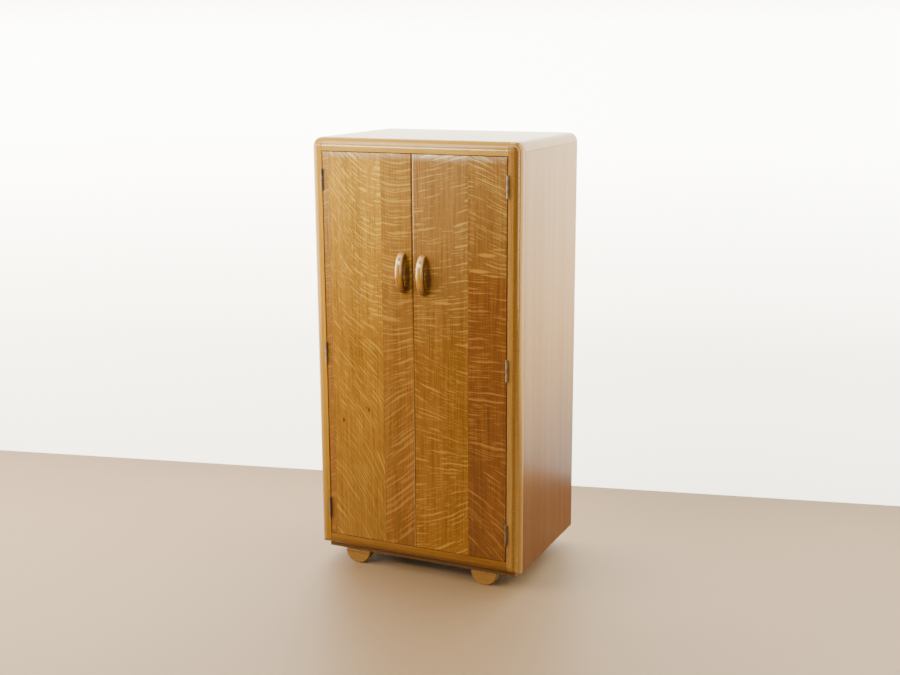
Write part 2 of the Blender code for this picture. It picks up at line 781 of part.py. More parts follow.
def build_door(side, frame):
    """A veneered door board, hung on an empty that stands on the hinge axis."""
    sign = SIDES[side]
    door_empty = add_empty(f"door_axis_{side}", (sign * HINGE_X, HINGE_Y, DOOR_BOTTOM))
    hinge_edge = sign * (OPENING_HALF_WIDTH - HINGE_GAP)
    meeting_edge = sign * MEETING_GAP / 2
    low_x, high_x = sorted((hinge_edge, meeting_edge))
    core = add_box(
        f"door_core_{side}",
        (low_x, CORE_FRONT_Y, DOOR_BOTTOM),
        (high_x, DOOR_BACK_Y, DOOR_TOP),
        BOARD_CORE,
        door_empty,
    )
    facings = add_facings(side, hinge_edge, meeting_edge, door_empty)
    build_hinges(side, frame[f"stile_{side}"], (core, facings[0]), door_empty)
    build_handle(side, (core, facings[-1]), door_empty)
    build_catch(side, core, frame["top_rail"], door_empty)


def build_armoire():
    frame = build_frame()
    build_boards()
    build_base()
    build_interior()
    for side in SIDES:
        build_door(side, frame)


build_armoire()
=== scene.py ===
"""The armoire's looks: fine joinery, carved handles and procedural oak, built around the CAD frame."""

import math

import bmesh
import bpy
from mathutils import Matrix, Vector


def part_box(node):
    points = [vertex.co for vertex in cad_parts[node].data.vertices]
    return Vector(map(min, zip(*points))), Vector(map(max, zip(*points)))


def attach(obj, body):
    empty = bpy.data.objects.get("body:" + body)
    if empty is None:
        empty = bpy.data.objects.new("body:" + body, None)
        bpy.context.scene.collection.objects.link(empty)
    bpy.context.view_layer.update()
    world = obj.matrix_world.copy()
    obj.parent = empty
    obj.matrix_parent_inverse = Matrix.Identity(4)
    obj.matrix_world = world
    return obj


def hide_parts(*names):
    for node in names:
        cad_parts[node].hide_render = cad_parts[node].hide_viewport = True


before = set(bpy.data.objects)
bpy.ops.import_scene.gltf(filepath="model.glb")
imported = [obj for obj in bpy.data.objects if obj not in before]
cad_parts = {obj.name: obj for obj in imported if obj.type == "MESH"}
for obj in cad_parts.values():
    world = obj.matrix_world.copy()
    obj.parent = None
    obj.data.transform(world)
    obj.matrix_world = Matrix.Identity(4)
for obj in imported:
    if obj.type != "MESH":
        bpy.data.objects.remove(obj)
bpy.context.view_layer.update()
FRONT_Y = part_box("stile_left")[0].y
SIDES = {"left": -1, "right": 1}
LEVELS = ("top", "middle", "bottom")


def middle_of(node):
    low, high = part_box(node)
    return (low + high) / 2


# ---------------------------------------------------------------- node graphs


class Graph:
    """A material's node tree, with short calls for the nodes that the finishes use."""

    def __init__(self, name):
        self.material = bpy.data.materials.new(name)
        self.material.use_nodes = True
        self.tree = self.material.node_tree
        self.shader = self.tree.nodes["Principled BSDF"]

    def set(self, socket, value):
        if isinstance(value, bpy.types.NodeSocket):
            self.tree.links.new(value, socket)
        else:
            socket.default_value = value

    def finish(self, **inputs):
        for name, value in inputs.items():
            self.set(self.shader.inputs[name.replace("_", " ")], value)
        return self.material

    def math(self, operation, *values, clamp=False):
        node = self.tree.nodes.new("ShaderNodeMath")
        node.operation = operation
        node.use_clamp = clamp
        for socket, value in zip(node.inputs, values):
            self.set(socket, value)
        return node.outputs[0]

    def add(self, a, b):
        return self.math("ADD", a, b)

    def times(self, a, b):
        return self.math("MULTIPLY", a, b)

    def place(self):
        """The point on the piece as (x, y, z) sockets, in the piece's own axes."""
        coordinates = self.tree.nodes.new("ShaderNodeTexCoord")
        split = self.tree.nodes.new("ShaderNodeSeparateXYZ")
        self.set(split.inputs[0], coordinates.outputs["Object"])
        return split.outputs[0], split.outputs[1], split.outputs[2]

    def vector(self, x, y, z):
        node = self.tree.nodes.new("ShaderNodeCombineXYZ")
        for socket, value in zip(node.inputs, (x, y, z)):
            self.set(socket, value)
        return node.outputs[0]

    def noise(self, vector, scale=1.0, detail=2.0, roughness=0.5):
        node = self.tree.nodes.new("ShaderNodeTexNoise")
        self.set(node.inputs["Vector"], vector)
        node.inputs["Scale"].default_value = scale
        node.inputs["Detail"].default_value = detail
        node.inputs["Roughness"].default_value = roughness
        return node.outputs["Fac"]

    def between(self, value, low, high, to_low=0.0, to_high=1.0):
        """Value's smooth passage from low to high, as to_low to to_high."""
        node = self.tree.nodes.new("ShaderNodeMapRange")
        node.interpolation_type = "SMOOTHSTEP"
        for socket, number in zip(node.inputs, (value, low, high, to_low, to_high)):
            self.set(socket, number)
        return node.outputs[0]

    def mix(self, factor, a, b, blend="MIX"):
        node = self.tree.nodes.new("ShaderNodeMix")
        node.data_type = "RGBA"
        node.blend_type = blend
        self.set(node.inputs["Factor"], factor)
        for name, value in (("A", a), ("B", b)):
            socket = [s for s in node.inputs if s.name == name and s.type == "RGBA"][0]
            self.set(socket, (*value, 1.0) if isinstance(value, tuple) else value)
        return [s for s in node.outputs if s.type == "RGBA"][0]

    def ramp(self, factor, stops, interpolation="LINEAR"):
        node = self.tree.nodes.new("ShaderNodeValToRGB")
        self.set(node.inputs[0], factor)
        elements = node.color_ramp.elements
        node.color_ramp.interpolation = interpolation
        while len(elements) < len(stops):
            elements.new(1.0)
        for element, (position, colour) in zip(elements, stops):
            element.position = position
            element.color = (*colour, 1.0)
        return node.outputs[0]

    def bump(self, height, strength, distance, normal=None):
        node = self.tree.nodes.new("ShaderNodeBump")
        node.inputs["Strength"].default_value = strength
        node.inputs["Distance"].default_value = distance
        self.set(node.inputs["Height"], height)
        if normal is not None:
            self.set(node.inputs["Normal"], normal)
        return node.outputs[0]


# ---------------------------------------------------------------- finishes

# How often the oak's figure repeats in a metre: (across the grain, along it).
BANDS = (26.0, 0.7)
STREAKS = (260.0, 5.0)
PORES = (900.0, 45.0)
GRAIN_WANDER = 0.012
PORE_COLOUR = (0.10, 0.035, 0.006)


def grain_axes(graph, along):
    """(across, depth, along) sockets for a board whose grain runs along X or Z."""
    x, y, z = graph.place()
    return {"X": (z, y, x), "Z": (x, y, z)}[along]


def oak_grain(graph, across, depth, along, seed):
    """Straight grain: (broad bands, fine streaks, pores), each from 0 to 1."""
    wander = graph.noise(graph.vector(across, seed, along), 3.0, 2.0)
    bent = graph.add(across, graph.times(wander, GRAIN_WANDER))

    def figure(repeats, detail, roughness=0.5):
        often, long = repeats
        drawn_out = graph.add(graph.times(along, long), seed)
        point = graph.vector(graph.times(bent, often), graph.times(depth, often), drawn_out)
        return graph.noise(point, detail=detail, roughness=roughness)

    broad = figure(BANDS, 3.0)
    fine = figure(STREAKS, 3.0, 0.6)
    pores = figure(PORES, 1.0)
    return broad, fine, graph.between(pores, 0.60, 0.72)


def grain_tone(graph, broad, fine, broad_share):
    """How light the grain is, from 0 to 1, of which the broad bands make up a share."""
    bands = graph.times(graph.between(broad, 0.3, 0.7), broad_share)
    streaks = graph.times(graph.between(fine, 0.3, 0.7), 1.0 - broad_share)
    return graph.add(bands, streaks)


def grain_relief(graph, fine, pores, ridges=0.5):
    """The surface's height: fine ridges, with the pores sunk in."""
    return graph.add(graph.times(fine, ridges), graph.times(pores, -0.6))


def varnished(graph, colour, height, roughness, gloss, coat=None):
    """Closes an oak material with its varnish: a coat that doesn't quite follow the grain below it."""
    x, y, z = graph.place()
    swell = graph.noise(graph.vector(x, y, z), 9.0, 2.0)
    smooth = graph.bump(swell, 0.35, 0.0008)
    rough = graph.bump(height, 0.25, 0.0004, smooth)
    return graph.finish(
        Base_Color=colour, Roughness=roughness, Specular_IOR_Level=gloss["level"], Normal=rough,
        Coat_Weight=gloss["coat"] if coat is None else coat, Coat_Roughness=gloss["roughness"],
        Coat_IOR=gloss["ior"], Coat_Normal=smooth,
    )


GLOSS = {
    "door": {"level": 0.22, "coat": 0.30, "roughness": 0.16, "ior": 1.35},
    "frame": {"level": 0.06, "coat": 0.6, "roughness": 0.13, "ior": 1.45},
    "rail": {"level": 0.06, "coat": 0.85, "roughness": 0.12, "ior": 1.55},
    "top": {"level": 0.0, "coat": 0.44, "roughness": 0.17, "ior": 1.5},
    "side": {"level": 0.06, "coat": 0.06, "roughness": 0.16, "ior": 1.35},
    "handle": {"level": 0.10, "coat": 1.0, "roughness": 0.15, "ior": 1.55},
    "worn": {"level": 0.30, "coat": 0.30, "roughness": 0.30, "ior": 1.45},
    "bare": {"level": 0.30, "coat": 0.0, "roughness": 0.5, "ior": 1.45},
}


# The colour that a fade deepens towards: painted shade, darker towards the floor.
DEEP_COLOUR = (0.065, 0.012, 0.0)
# How strongly the rounded edges change, the heights where their painted sheen is full, and the heights and
# share for their painted shade low down.
WEAR_AND_SHEEN = 0.7
SHEEN_HEIGHTS = (0.30, 0.95)
DARK_HEIGHTS = (0.20, 0.70)
DARK_SHARE = 0.45
LINE_BREAKS = 330.0


def plain_oak(
    name, along, light, dark, seed, gloss="frame", contrast=1.0, fade=None, wear_and_sheen=None, lines=()
):
    """Straight-grained varnished oak.

    A fade of (low, high, share) deepens the colour below high, down to that share of it below low: painted
    shade, darker towards the floor.
    The rounded-edge tuple gives (shade, coat left, distance behind the front where the change starts,
    distance where it is full). The thinner coat there is worn varnish; on the stiles the shade is pale, a
    painted sheen that is full higher up. Low down the rounds are darkened instead, with painted shade.
    Lines lists broken upright lines, each a painted shade, a painted highlight or a dark joint line, with
    "across" or "behind" the front before what edge_line takes.
    """
    graph = Graph(name)
    across, depth, length = grain_axes(graph, along)
    broad, fine, pores = oak_grain(graph, across, depth, length, seed)
    tone = grain_tone(graph, broad, fine, 0.55)
    tone = graph.add(0.5, graph.times(graph.add(tone, -0.5), contrast))
    colour = graph.mix(tone, dark, light)
    pore_shade = tuple(0.45 * channel for channel in dark)
    colour = graph.mix(graph.times(pores, 0.5), colour, pore_shade)
    x, y, z = graph.place()
    behind_front = graph.add(y, -FRONT_Y)
    # Painted shade: darker towards the floor.
    if fade:
        low, high, share = fade
        colour = graph.mix(graph.between(z, low, high, 1.0 - share, 0.0), colour, DEEP_COLOUR)
    coat = None
    # Rounded edges: a thinner worn coat and, higher up, a pale painted sheen; low down, painted shade.
    if wear_and_sheen:
        shade, thin_coat, start, full = wear_and_sheen
        worn = graph.between(behind_front, start, full, 0.0, WEAR_AND_SHEEN)
        colour = graph.mix(graph.times(worn, graph.between(z, *SHEEN_HEIGHTS)), colour, shade)
        round_low_shade = graph.between(z, *DARK_HEIGHTS, DARK_SHARE, 0.0)
        colour = graph.mix(graph.times(worn, round_low_shade), colour, pore_shade)
        coat = graph.between(behind_front, start, full, GLOSS[gloss]["coat"], thin_coat)
    if lines:
        breaks = graph.noise(graph.vector(0.0, 0.0, graph.times(z, LINE_BREAKS)))
        ragged = graph.between(breaks, 0.35, 0.6, 0.35, 1.0)
        for place, *line in lines:
            distance = {"across": x, "behind": behind_front}[place]
            colour = graph.mix(ragged, colour, edge_line(graph, colour, distance, z, line))
    roughness = graph.between(broad, 0.2, 0.8, 0.36, 0.28)
    return varnished(graph, colour, grain_relief(graph, fine, pores), roughness, GLOSS[gloss], coat)


def level_in(graph, z, box):
    low, high = box
    return graph.times(graph.add(z, -low.z), 1 / (high.z - low.z))


SLOPE_SPAN = 6.0  # the colour ramp's range holds slopes from minus half of this to plus half of it


def ray_flow(graph, x, z, box, slopes):
    """(height at which a ray fleck through (x, z) crosses the strip's middle, steepness of the fleck).

    slopes lists (share of the height, slope at the strip's left edge, slope at its right edge).
    """
    low, high = box
    half = (high.x - low.x) / 2
    u = graph.times(graph.add(x, -(low.x + half)), 1 / half)
    stops = []
    for share, left, right in slopes:
        middle, change = (left + right) / 2, (right - left) / 2
        stops.append((share, (0.5 + middle / SLOPE_SPAN, 0.5 + change / SLOPE_SPAN, 0.0)))
    field = graph.ramp(level_in(graph, z, box), stops, "EASE")
    split = graph.tree.nodes.new("ShaderNodeSeparateColor")
    graph.set(split.inputs[0], field)
    middle = graph.times(graph.add(split.outputs[0], -0.5), SLOPE_SPAN)
    change = graph.times(graph.add(split.outputs[1], -0.5), SLOPE_SPAN)
    rise = graph.add(graph.times(middle, u), graph.times(graph.times(change, 0.5), graph.times(u, u)))
    steepness = graph.math("ABSOLUTE", graph.add(middle, graph.times(change, u)))
    return graph.add(z, graph.times(rise, -half)), steepness


SPOT_GRIT = 260.0
SPOT_RAGGEDNESS = 0.9


def spotted(graph, colour, x, z, spots):
    """Adds marks with ragged outlines, each (x, z, half width, half height, shade, strength)."""
    ragged = graph.noise(graph.vector(graph.times(x, SPOT_GRIT), 0.0, graph.times(z, SPOT_GRIT)), detail=2.0)
    for spot_x, spot_z, half_width, half_height, shade, strength in spots:
        across = graph.times(graph.add(x, -spot_x), 1 / half_width)
        along = graph.times(graph.add(z, -spot_z), 1 / half_height)
        distance = graph.math("SQRT", graph.add(graph.times(across, across), graph.times(along, along)))
        distance = graph.add(distance, graph.times(graph.add(ragged, -0.5), SPOT_RAGGEDNESS))
        colour = graph.mix(graph.between(distance, 0.4, 1.0, strength, 0.0), colour, shade)
    return colour


LINE_STRENGTH = 0.85


def edge_line(graph, colour, x, z, line):
    """Adds an upright line of another shade to a colour: dark lines, painted shade and painted highlights
    along edges.

    The line is (x, half width, height where it starts, height where it is full, shade).
    """
    edge_x, half_width, start, full, shade = line
    distance = graph.math("ABSOLUTE", graph.add(x, -edge_x))
    across = graph.between(distance, 0.4 * half_width, half_width, LINE_STRENGTH, 0.0)
    return graph.mix(graph.times(across, graph.between(z, start, full)), colour, shade)


def fleck_lines(graph, flow, run, pitch, lengths, width, seed, lift):
    """Lens-shaped flecks on lines that follow the flow, each line with its own breaks, from 0 to 1."""
    sway = graph.noise(graph.vector(graph.times(flow, 0.4 * pitch), seed, 0.0), detail=1.0)
    phase = graph.add(graph.times(flow, pitch), graph.times(sway, 2.2))
    line = graph.math("FLOOR", phase)
    peak = graph.math("SUBTRACT", phase, line)
    peak = graph.math("ABSOLUTE", graph.add(graph.times(peak, 2.0), -1.0))
    peak = graph.math("SUBTRACT", 1.0, peak)
    place = graph.vector(graph.times(run, lengths), graph.times(line, 7.31), seed + 5.0)
    breaks = graph.noise(place, detail=1.0, roughness=0.4)
    reach = graph.times(graph.between(graph.add(breaks, lift), 0.44, 0.68), width)
    edge = graph.math("SUBTRACT", 1.0, reach)
    rise = graph.math("DIVIDE", graph.math("SUBTRACT", peak, edge), graph.add(reach, 0.02), clamp=True)
    return graph.math("POWER", rise, 0.7)


FLECK_DRIFT = 0.018
SLIGHT_FINENESS = 2.1
SLIGHT_SHARE = 0.55


def strip_spots(box, strip):
    """A strip's marks in the row frame: the painted shadow that its pull casts beside it, then the knots and
    patches.
    """
    low, high = box
    spots = []
    if "pull" in strip:
        centre = middle_of(strip["pull"])
        place = (centre.x + PULL_SHADOW_BESIDE, centre.z - PULL_SHADOW_BELOW)
        spots.append((*place, strip["grime_width"] / 2, PULL_SHADOW_HALF_HEIGHT, PULL_SHADOW, PULL_SHADOW_STRENGTH))
    for across, up, *mark in strip.get("marks", ()):
        place = (low.x + across * (high.x - low.x), low.z + up * (high.z - low.z))
        spots.append((*place, *mark))
    return spots


def flecked_oak(name, box, strip):
    """Quarter-sawn oak: upright grain crossed by golden ray flecks that follow a flow of slopes."""
    graph = Graph(name)
    seed = strip["seed"]
    x, y, z = graph.place()
    broad, fine, pores = oak_grain(graph, x, y, z, seed)
    flow, steepness = ray_flow(graph, x, z, box, strip["slopes"])
    drift = graph.noise(graph.vector(graph.times(x, 14.0), seed, graph.times(z, 14.0)), detail=2.0)
    flow = graph.add(flow, graph.times(drift, FLECK_DRIFT))
    run = graph.times(x, graph.add(1.0, graph.times(steepness, 0.5)))
    patches = graph.noise(graph.vector(graph.times(x, 12.0), seed + 3.0, graph.times(z, 8.0)), detail=2.0)
    lift = graph.add(graph.times(graph.add(patches, -0.5), 0.45), strip.get("cover", 0.0))
    pitch, lengths = strip["pitch"], strip["lengths"]
    bold = fleck_lines(graph, flow, run, pitch, lengths, strip["width"], seed, lift)
    slight = fleck_lines(
        graph, flow, run, SLIGHT_FINENESS * pitch, 2.2 * lengths, 0.55, seed + 20.0, lift
    )
    mask = graph.math("MAXIMUM", bold, graph.times(slight, SLIGHT_SHARE))
    mask = graph.times(mask, graph.between(fine, 0.25, 0.6, 0.65, 1.0))
    level = level_in(graph, z, box)
    base = graph.ramp(level, strip["tones"], "EASE")
    bands = graph.times(graph.between(broad, 0.3, 0.7), 0.16)
    streaks = graph.times(graph.between(fine, 0.25, 0.75), 0.54)
    streaks = graph.add(0.60, graph.add(bands, streaks))
    grey = graph.tree.nodes.new("ShaderNodeCombineColor")
    for socket in grey.inputs:
        graph.set(socket, streaks)
    colour = graph.mix(1.0, base, grey.outputs[0], "MULTIPLY")
    glow = graph.mix(1.0, base, strip["glow"], "MULTIPLY")
    colour = graph.mix(graph.times(mask, strip["strength"]), colour, glow)
    colour = graph.mix(graph.times(pores, 0.35), colour, PORE_COLOUR)
    colour = spotted(graph, colour, x, z, strip_spots(box, strip))
    for edge, inset, *line in strip.get("edges", ()):
        edge_x = box[0].x + inset if edge == "left" else box[1].x - inset
        colour = edge_line(graph, colour, x, z, (edge_x, *line))
    roughness = graph.between(mask, 0.0, 1.0, 0.33, 0.26)
    return varnished(graph, colour, grain_relief(graph, fine, pores, 0.4), roughness, GLOSS["door"])


# Painted highlights on each pull: a broad pale one on the left of its upper half, and a narrow one along its
# right front edge.
LEFT_HIGHLIGHT_COLOUR = (0.90, 0.66, 0.26)
RIDGE_HIGHLIGHT_COLOUR = (0.82, 0.52, 0.24)
RIDGE_PLACE = 0.0060
# Painted shade on each pull: its far right side and its lower foot are darkened.
FAR_SIDE_SHADE = (0.05, 0.018, 0.004)
LOWER_FOOT_SHADE = (0.13, 0.045, 0.006)


def handle_oak(name, centre, seed):
    """Polished oak for a pull, with painted highlights on its left and along its right front edge, and
    painted shade on its far side and at its lower foot.
    """
    graph = Graph(name)
    x, y, z = graph.place()
    broad, fine, pores = oak_grain(graph, x, y, z, seed)
    colour = graph.mix(grain_tone(graph, broad, fine, 0.5), (0.20, 0.080, 0.006), (0.42, 0.215, 0.014))
    across = graph.add(x, -centre.x)
    up = graph.add(z, -centre.z)
    left_highlight = graph.times(graph.between(across, -0.009, 0.001, 0.75, 0.0), graph.between(up, -0.022, 0.016))
    colour = graph.mix(left_highlight, colour, LEFT_HIGHLIGHT_COLOUR)
    from_ridge = graph.math("ABSOLUTE", graph.add(across, -RIDGE_PLACE))
    ridge_highlight = graph.between(from_ridge, 0.0008, 0.0028, 0.70, 0.0)
    colour = graph.mix(graph.times(ridge_highlight, graph.between(up, -0.010, 0.020)), colour, RIDGE_HIGHLIGHT_COLOUR)
    colour = graph.mix(graph.between(across, 0.0090, 0.0118, 0.0, 0.85), colour, FAR_SIDE_SHADE)
    colour = graph.mix(graph.between(up, -0.052, -0.018, 0.85, 0.0), colour, LOWER_FOOT_SHADE)
    colour = graph.mix(graph.times(pores, 0.4), colour, PORE_COLOUR)
    return varnished(graph, colour, grain_relief(graph, fine, pores), 0.30, GLOSS["handle"])


LOW_SHADE_HEIGHTS = (0.15, 0.60)


def metal(name, light, dark, roughness, scale=60.0, stains=0.5, metallic=1.0):
    """Aged metal with tarnish in patches and fine scratches, darkened low down with painted shade."""
    graph = Graph(name)
    x, y, z = graph.place()
    spot = graph.noise(graph.vector(x, y, z), scale, 4.0, 0.65)
    patch = graph.between(spot, 0.5 - 0.25 * stains, 0.5 + 0.35 * stains)
    scratch = graph.noise(
        graph.vector(graph.times(x, 900.0), graph.times(y, 900.0), graph.times(z, 90.0)), detail=1.0
    )
    colour = graph.mix(patch, light, dark)
    # Painted shade: the metal is darker low down.
    painted_low_shade = tuple(0.25 * channel for channel in dark)
    colour = graph.mix(graph.between(z, *LOW_SHADE_HEIGHTS, 0.65, 0.0), colour, painted_low_shade)
    rough = graph.between(patch, 0.0, 1.0, roughness, roughness + 0.12)
    rough = graph.add(rough, graph.times(scratch, 0.08))
    relief = graph.bump(scratch, 0.06, 0.0002)
    return graph.finish(Base_Color=colour, Roughness=rough, Metallic=metallic, Normal=relief)


KNOT = (0.05, 0.018, 0.006)
GREY_SPOT = (0.14, 0.10, 0.06)
GOLD = (0.46, 0.245, 0.030)
# The shadow that each pull casts on its door, painted on the veneer to its right and a little below it.
PULL_SHADOW = (0.045, 0.016, 0.004)
PULL_SHADOW_BESIDE = 0.0145
PULL_SHADOW_BELOW = 0.008
PULL_SHADOW_HALF_HEIGHT = 0.043
PULL_SHADOW_STRENGTH = 0.7
# A dark line along each door's outer edge, beside the stile.
EDGE_DARK_LINE = (0.04, 0.015, 0.004)

# Each strip of veneer comes from its own leaf, so each has its own tones and its own run of flecks.
# tones: the colours by share of the door's height; their darkening towards the bottom is painted shade,
# and their pale last stop at the top edge is a painted highlight. slopes: the flecks' slopes, as ray_flow
# takes them.
# pitch, lengths, width, cover, glow and strength: how many flecks there are, and how big and how light.
# pull, and the width after it: the pull whose cast shadow is painted on the strip beside it, and how wide
# that painted shadow is.
# marks: (share of the width, share of the height, half width, half height, shade, strength).
# edges: (edge, distance inside it), then the rest as edge_line takes it.
STRIPS = {
    "left_edge": {
        "tones": [
            (0.0, (0.196, 0.080, 0.014)), (0.5, (0.235, 0.103, 0.019)), (0.98, (0.360, 0.200, 0.055)),
            (1.0, (0.44, 0.30, 0.15)),
        ],
        "slopes": [(0.0, 0.4, 0.4), (1.0, 0.3, 0.3)], "pitch": 50.0, "lengths": 40.0, "width": 0.35,
        "glow": (1.6, 1.9, 2.2), "strength": 0.8, "seed": 16.4,
        "edges": [("left", 0.0005, 0.0026, 0.0, 0.01, EDGE_DARK_LINE)],
    },
    "left_outer": {
        "tones": [
            (0.0, (0.215, 0.097, 0.012)), (0.45, (0.250, 0.112, 0.010)), (0.98, (0.390, 0.212, 0.020)),
            (1.0, (0.44, 0.30, 0.15)),
        ],
        "slopes": [
            (0.04, -0.8, -2.4), (0.15, -1.0, -2.1), (0.3, -0.8, -1.5), (0.45, -1.1, -0.9),
            (0.6, -1.3, 0.0), (0.8, -2.0, 0.15), (0.95, -1.6, 0.1),
        ],
        "pitch": 68.0, "lengths": 21.0, "width": 0.46, "glow": (1.9, 2.35, 2.9), "strength": 0.95,
        "seed": 1.3,
        "marks": [
            (0.186, 0.314, 0.005, 0.009, KNOT, 0.85), (0.696, 0.349, 0.005, 0.009, KNOT, 0.85),
            (0.646, 0.354, 0.003, 0.005, KNOT, 0.8), (0.565, 0.653, 0.005, 0.007, GREY_SPOT, 0.8),
        ],
    },
    "left_inner": {
        "tones": [
            (0.0, (0.176, 0.069, 0.012)), (0.45, (0.194, 0.082, 0.013)), (0.98, (0.278, 0.143, 0.022)),
            (1.0, (0.42, 0.26, 0.13)),
        ],
        "slopes": [
            (0.0, 0.3, 1.2), (0.15, 0.8, 0.9), (0.35, 0.7, 0.8), (0.47, 0.2, 0.5), (0.62, -0.4, 0.4),
            (1.0, -0.35, 0.35),
        ],
        "pitch": 46.0, "lengths": 11.0, "width": 0.36, "cover": 0.05, "glow": (1.9, 2.3, 2.8),
        "strength": 0.95, "seed": 4.1, "pull": "handle_left", "grime_width": 0.028,
        "edges": [
            # Painted shade in the gap where the doors meet, high up, then a paler line along that edge low
            # down.
            ("right", 0.0020, 0.0030, 0.66, 0.98, (0.035, 0.014, 0.004)),
            ("right", 0.0005, 0.0018, 0.80, 0.45, (0.30, 0.17, 0.07)),
        ],
    },
    "right_inner": {
        "tones": [
            (0.0, (0.209, 0.085, 0.012)), (0.45, (0.187, 0.078, 0.011)), (0.98, (0.255, 0.132, 0.031)),
            (1.0, (0.50, 0.38, 0.24)),
        ],
        "slopes": [
            (0.0, 0.2, 0.6), (0.14, 0.2, 0.6), (0.22, 0.0, 0.1), (0.34, -0.2, -0.2), (0.48, -0.5, -0.1),
            (0.62, 0.1, 0.2), (1.0, 0.2, 0.3),
        ],
        "pitch": 64.0, "lengths": 17.0, "width": 0.42, "glow": (2.0, 2.55, 3.0), "strength": 0.95,
        "seed": 8.6, "pull": "handle_right", "grime_width": 0.026,
        "marks": [(0.521, 0.642, 0.0450, 0.0060, GOLD, 0.6)],
        # A painted highlight along the edge where the doors meet, high up.
        "edges": [("left", 0.0005, 0.0024, 0.86, 1.16, (0.80, 0.56, 0.36))],
    },
    "right_outer": {
        "tones": [
            (0.0, (0.136, 0.047, 0.009)), (0.6, (0.149, 0.052, 0.010)), (0.71, (0.163, 0.061, 0.011)),
            (0.73, (0.189, 0.085, 0.015)), (0.98, (0.240, 0.116, 0.022)), (1.0, (0.34, 0.22, 0.11)),
        ],
        "slopes": [
            (0.0, -0.9, -0.9), (0.2, -0.6, -0.5), (0.27, -0.15, -0.1), (0.4, 0.0, 0.0), (0.7, 0.0, -0.05),
            (0.8, -0.3, -0.4), (1.0, -0.3, -0.5),
        ],
        "pitch": 62.0, "lengths": 12.0, "width": 0.36, "cover": 0.02, "glow": (2.2, 3.0, 3.6),
        "strength": 0.95, "seed": 12.2,
        "marks": [
            (0.489, 0.767, 0.0400, 0.0075, GOLD, 0.6), (0.278, 0.727, 0.0400, 0.0070, GOLD, 0.6),
            (0.785, 0.782, 0.0250, 0.0045, GOLD, 0.5),
        ],
        "edges": [("right", 0.0005, 0.0026, 0.0, 0.01, EDGE_DARK_LINE)],
    },
}
FINISHES = {
    f"veneer_{strip}": flecked_oak(f"oak_{strip}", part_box(f"door_facing_{strip}"), looks)
    for strip, looks in STRIPS.items()
}

# The right stile carries a painted dark reflection where its face turns into the round, a pale painted
# highlight line on the round, and a dark line at the joint.
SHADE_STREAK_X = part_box("stile_right")[0].x + 0.0205
STILE_LINES = (
    ("across", SHADE_STREAK_X, 0.0060, 0.0, 0.01, (0.185, 0.078, 0.010)),
    ("behind", 0.0070, 0.0022, 0.75, 1.10, (0.70, 0.46, 0.20)),
    ("behind", 0.0300, 0.0060, 0.40, 0.70, (0.03, 0.012, 0.004)),
)
BOARD_LIGHT, BOARD_DARK = (0.36, 0.180, 0.060), (0.24, 0.100, 0.030)

FINISHES |= {
    # The left stile's tones are lighter and more golden than the right stile's: painted light from the
    # window on the left.
    "upright_left": plain_oak(
        "oak_upright_left", "Z", (0.58, 0.325, 0.034), (0.36, 0.175, 0.013), 20.4, fade=(0.0, 0.9, 0.35),
        wear_and_sheen=((0.70, 0.46, 0.09), 0.06, 0.009, 0.013),
    ),
    "upright_right": plain_oak(
        "oak_upright_right", "Z", (0.41, 0.220, 0.052), (0.225, 0.106, 0.022), 72.9,
        wear_and_sheen=((0.74, 0.45, 0.15), 0.04, 0.009, 0.0125), lines=STILE_LINES,
    ),
    # The bottom rail's and the base board's tones are darker than the oak above them: painted shade, low
    # down and under the carcase.
    "level": plain_oak("oak_level", "X", (0.285, 0.132, 0.023), (0.155, 0.062, 0.010), 23.9),
    "base": plain_oak("oak_base", "X", (0.17, 0.080, 0.016), (0.09, 0.036, 0.007), 78.3, "worn"),
    # The top rail's tones are paler than the bottom rail's: painted sheen.
    "rail": plain_oak(
        "oak_rail", "X", (0.60, 0.375, 0.072), (0.365, 0.195, 0.031), 27.3, "rail",
        wear_and_sheen=((0.46, 0.25, 0.025), 0.0, 0.0045, 0.008),
    ),
    "side_left": plain_oak(
        "oak_side_left", "Z", (0.300, 0.145, 0.022), (0.205, 0.088, 0.012), 88.2, "side",
        fade=(0.0, 0.9, 0.6),
    ),
    "side_right": plain_oak(
        "oak_side_right", "Z", (0.375, 0.188, 0.024), (0.28, 0.130, 0.014), 31.7, "side", 0.8,
        fade=(0.20, 0.85, 0.14),
    ),
    "top": plain_oak(
        "oak_top", "X", (0.44, 0.245, 0.040), (0.32, 0.165, 0.022), 36.2, "top", 0.8,
        wear_and_sheen=((0.42, 0.225, 0.030), 0.02, 0.034, 0.018),
    ),
    "handle_left": handle_oak("oak_handle_left", middle_of("handle_left"), 41.5),
    "handle_right": handle_oak("oak_handle_right", middle_of("handle_right"), 83.9),
    # The feet's tones are darkened too: painted shade under the carcase.
    "foot": plain_oak("oak_foot", "X", (0.30, 0.158, 0.034), (0.17, 0.075, 0.012), 46.8, "worn"),
    "core": plain_oak("stained_board", "Z", BOARD_LIGHT, BOARD_DARK, 52.6, "worn"),
    "shelf": plain_oak("stained_shelf", "X", BOARD_LIGHT, BOARD_DARK, 57.1, "worn"),
    "plywood": plain_oak("plywood", "Z", (0.36, 0.22, 0.105), (0.25, 0.140, 0.062), 63.3, "bare"),
    "hinge": metal("hinge_metal", (0.31, 0.245, 0.175), (0.18, 0.130, 0.085), 0.5, metallic=0.4),
    "brass": metal("aged_brass", (0.62, 0.44, 0.19), (0.46, 0.31, 0.13), 0.30, 22.0, 0.6),
    "steel": metal("bright_steel", (0.50, 0.49, 0.47), (0.24, 0.22, 0.20), 0.26, 80.0, 0.3),
}


# ---------------------------------------------------------------- making pieces

HARD_ANGLE = math.radians(50)


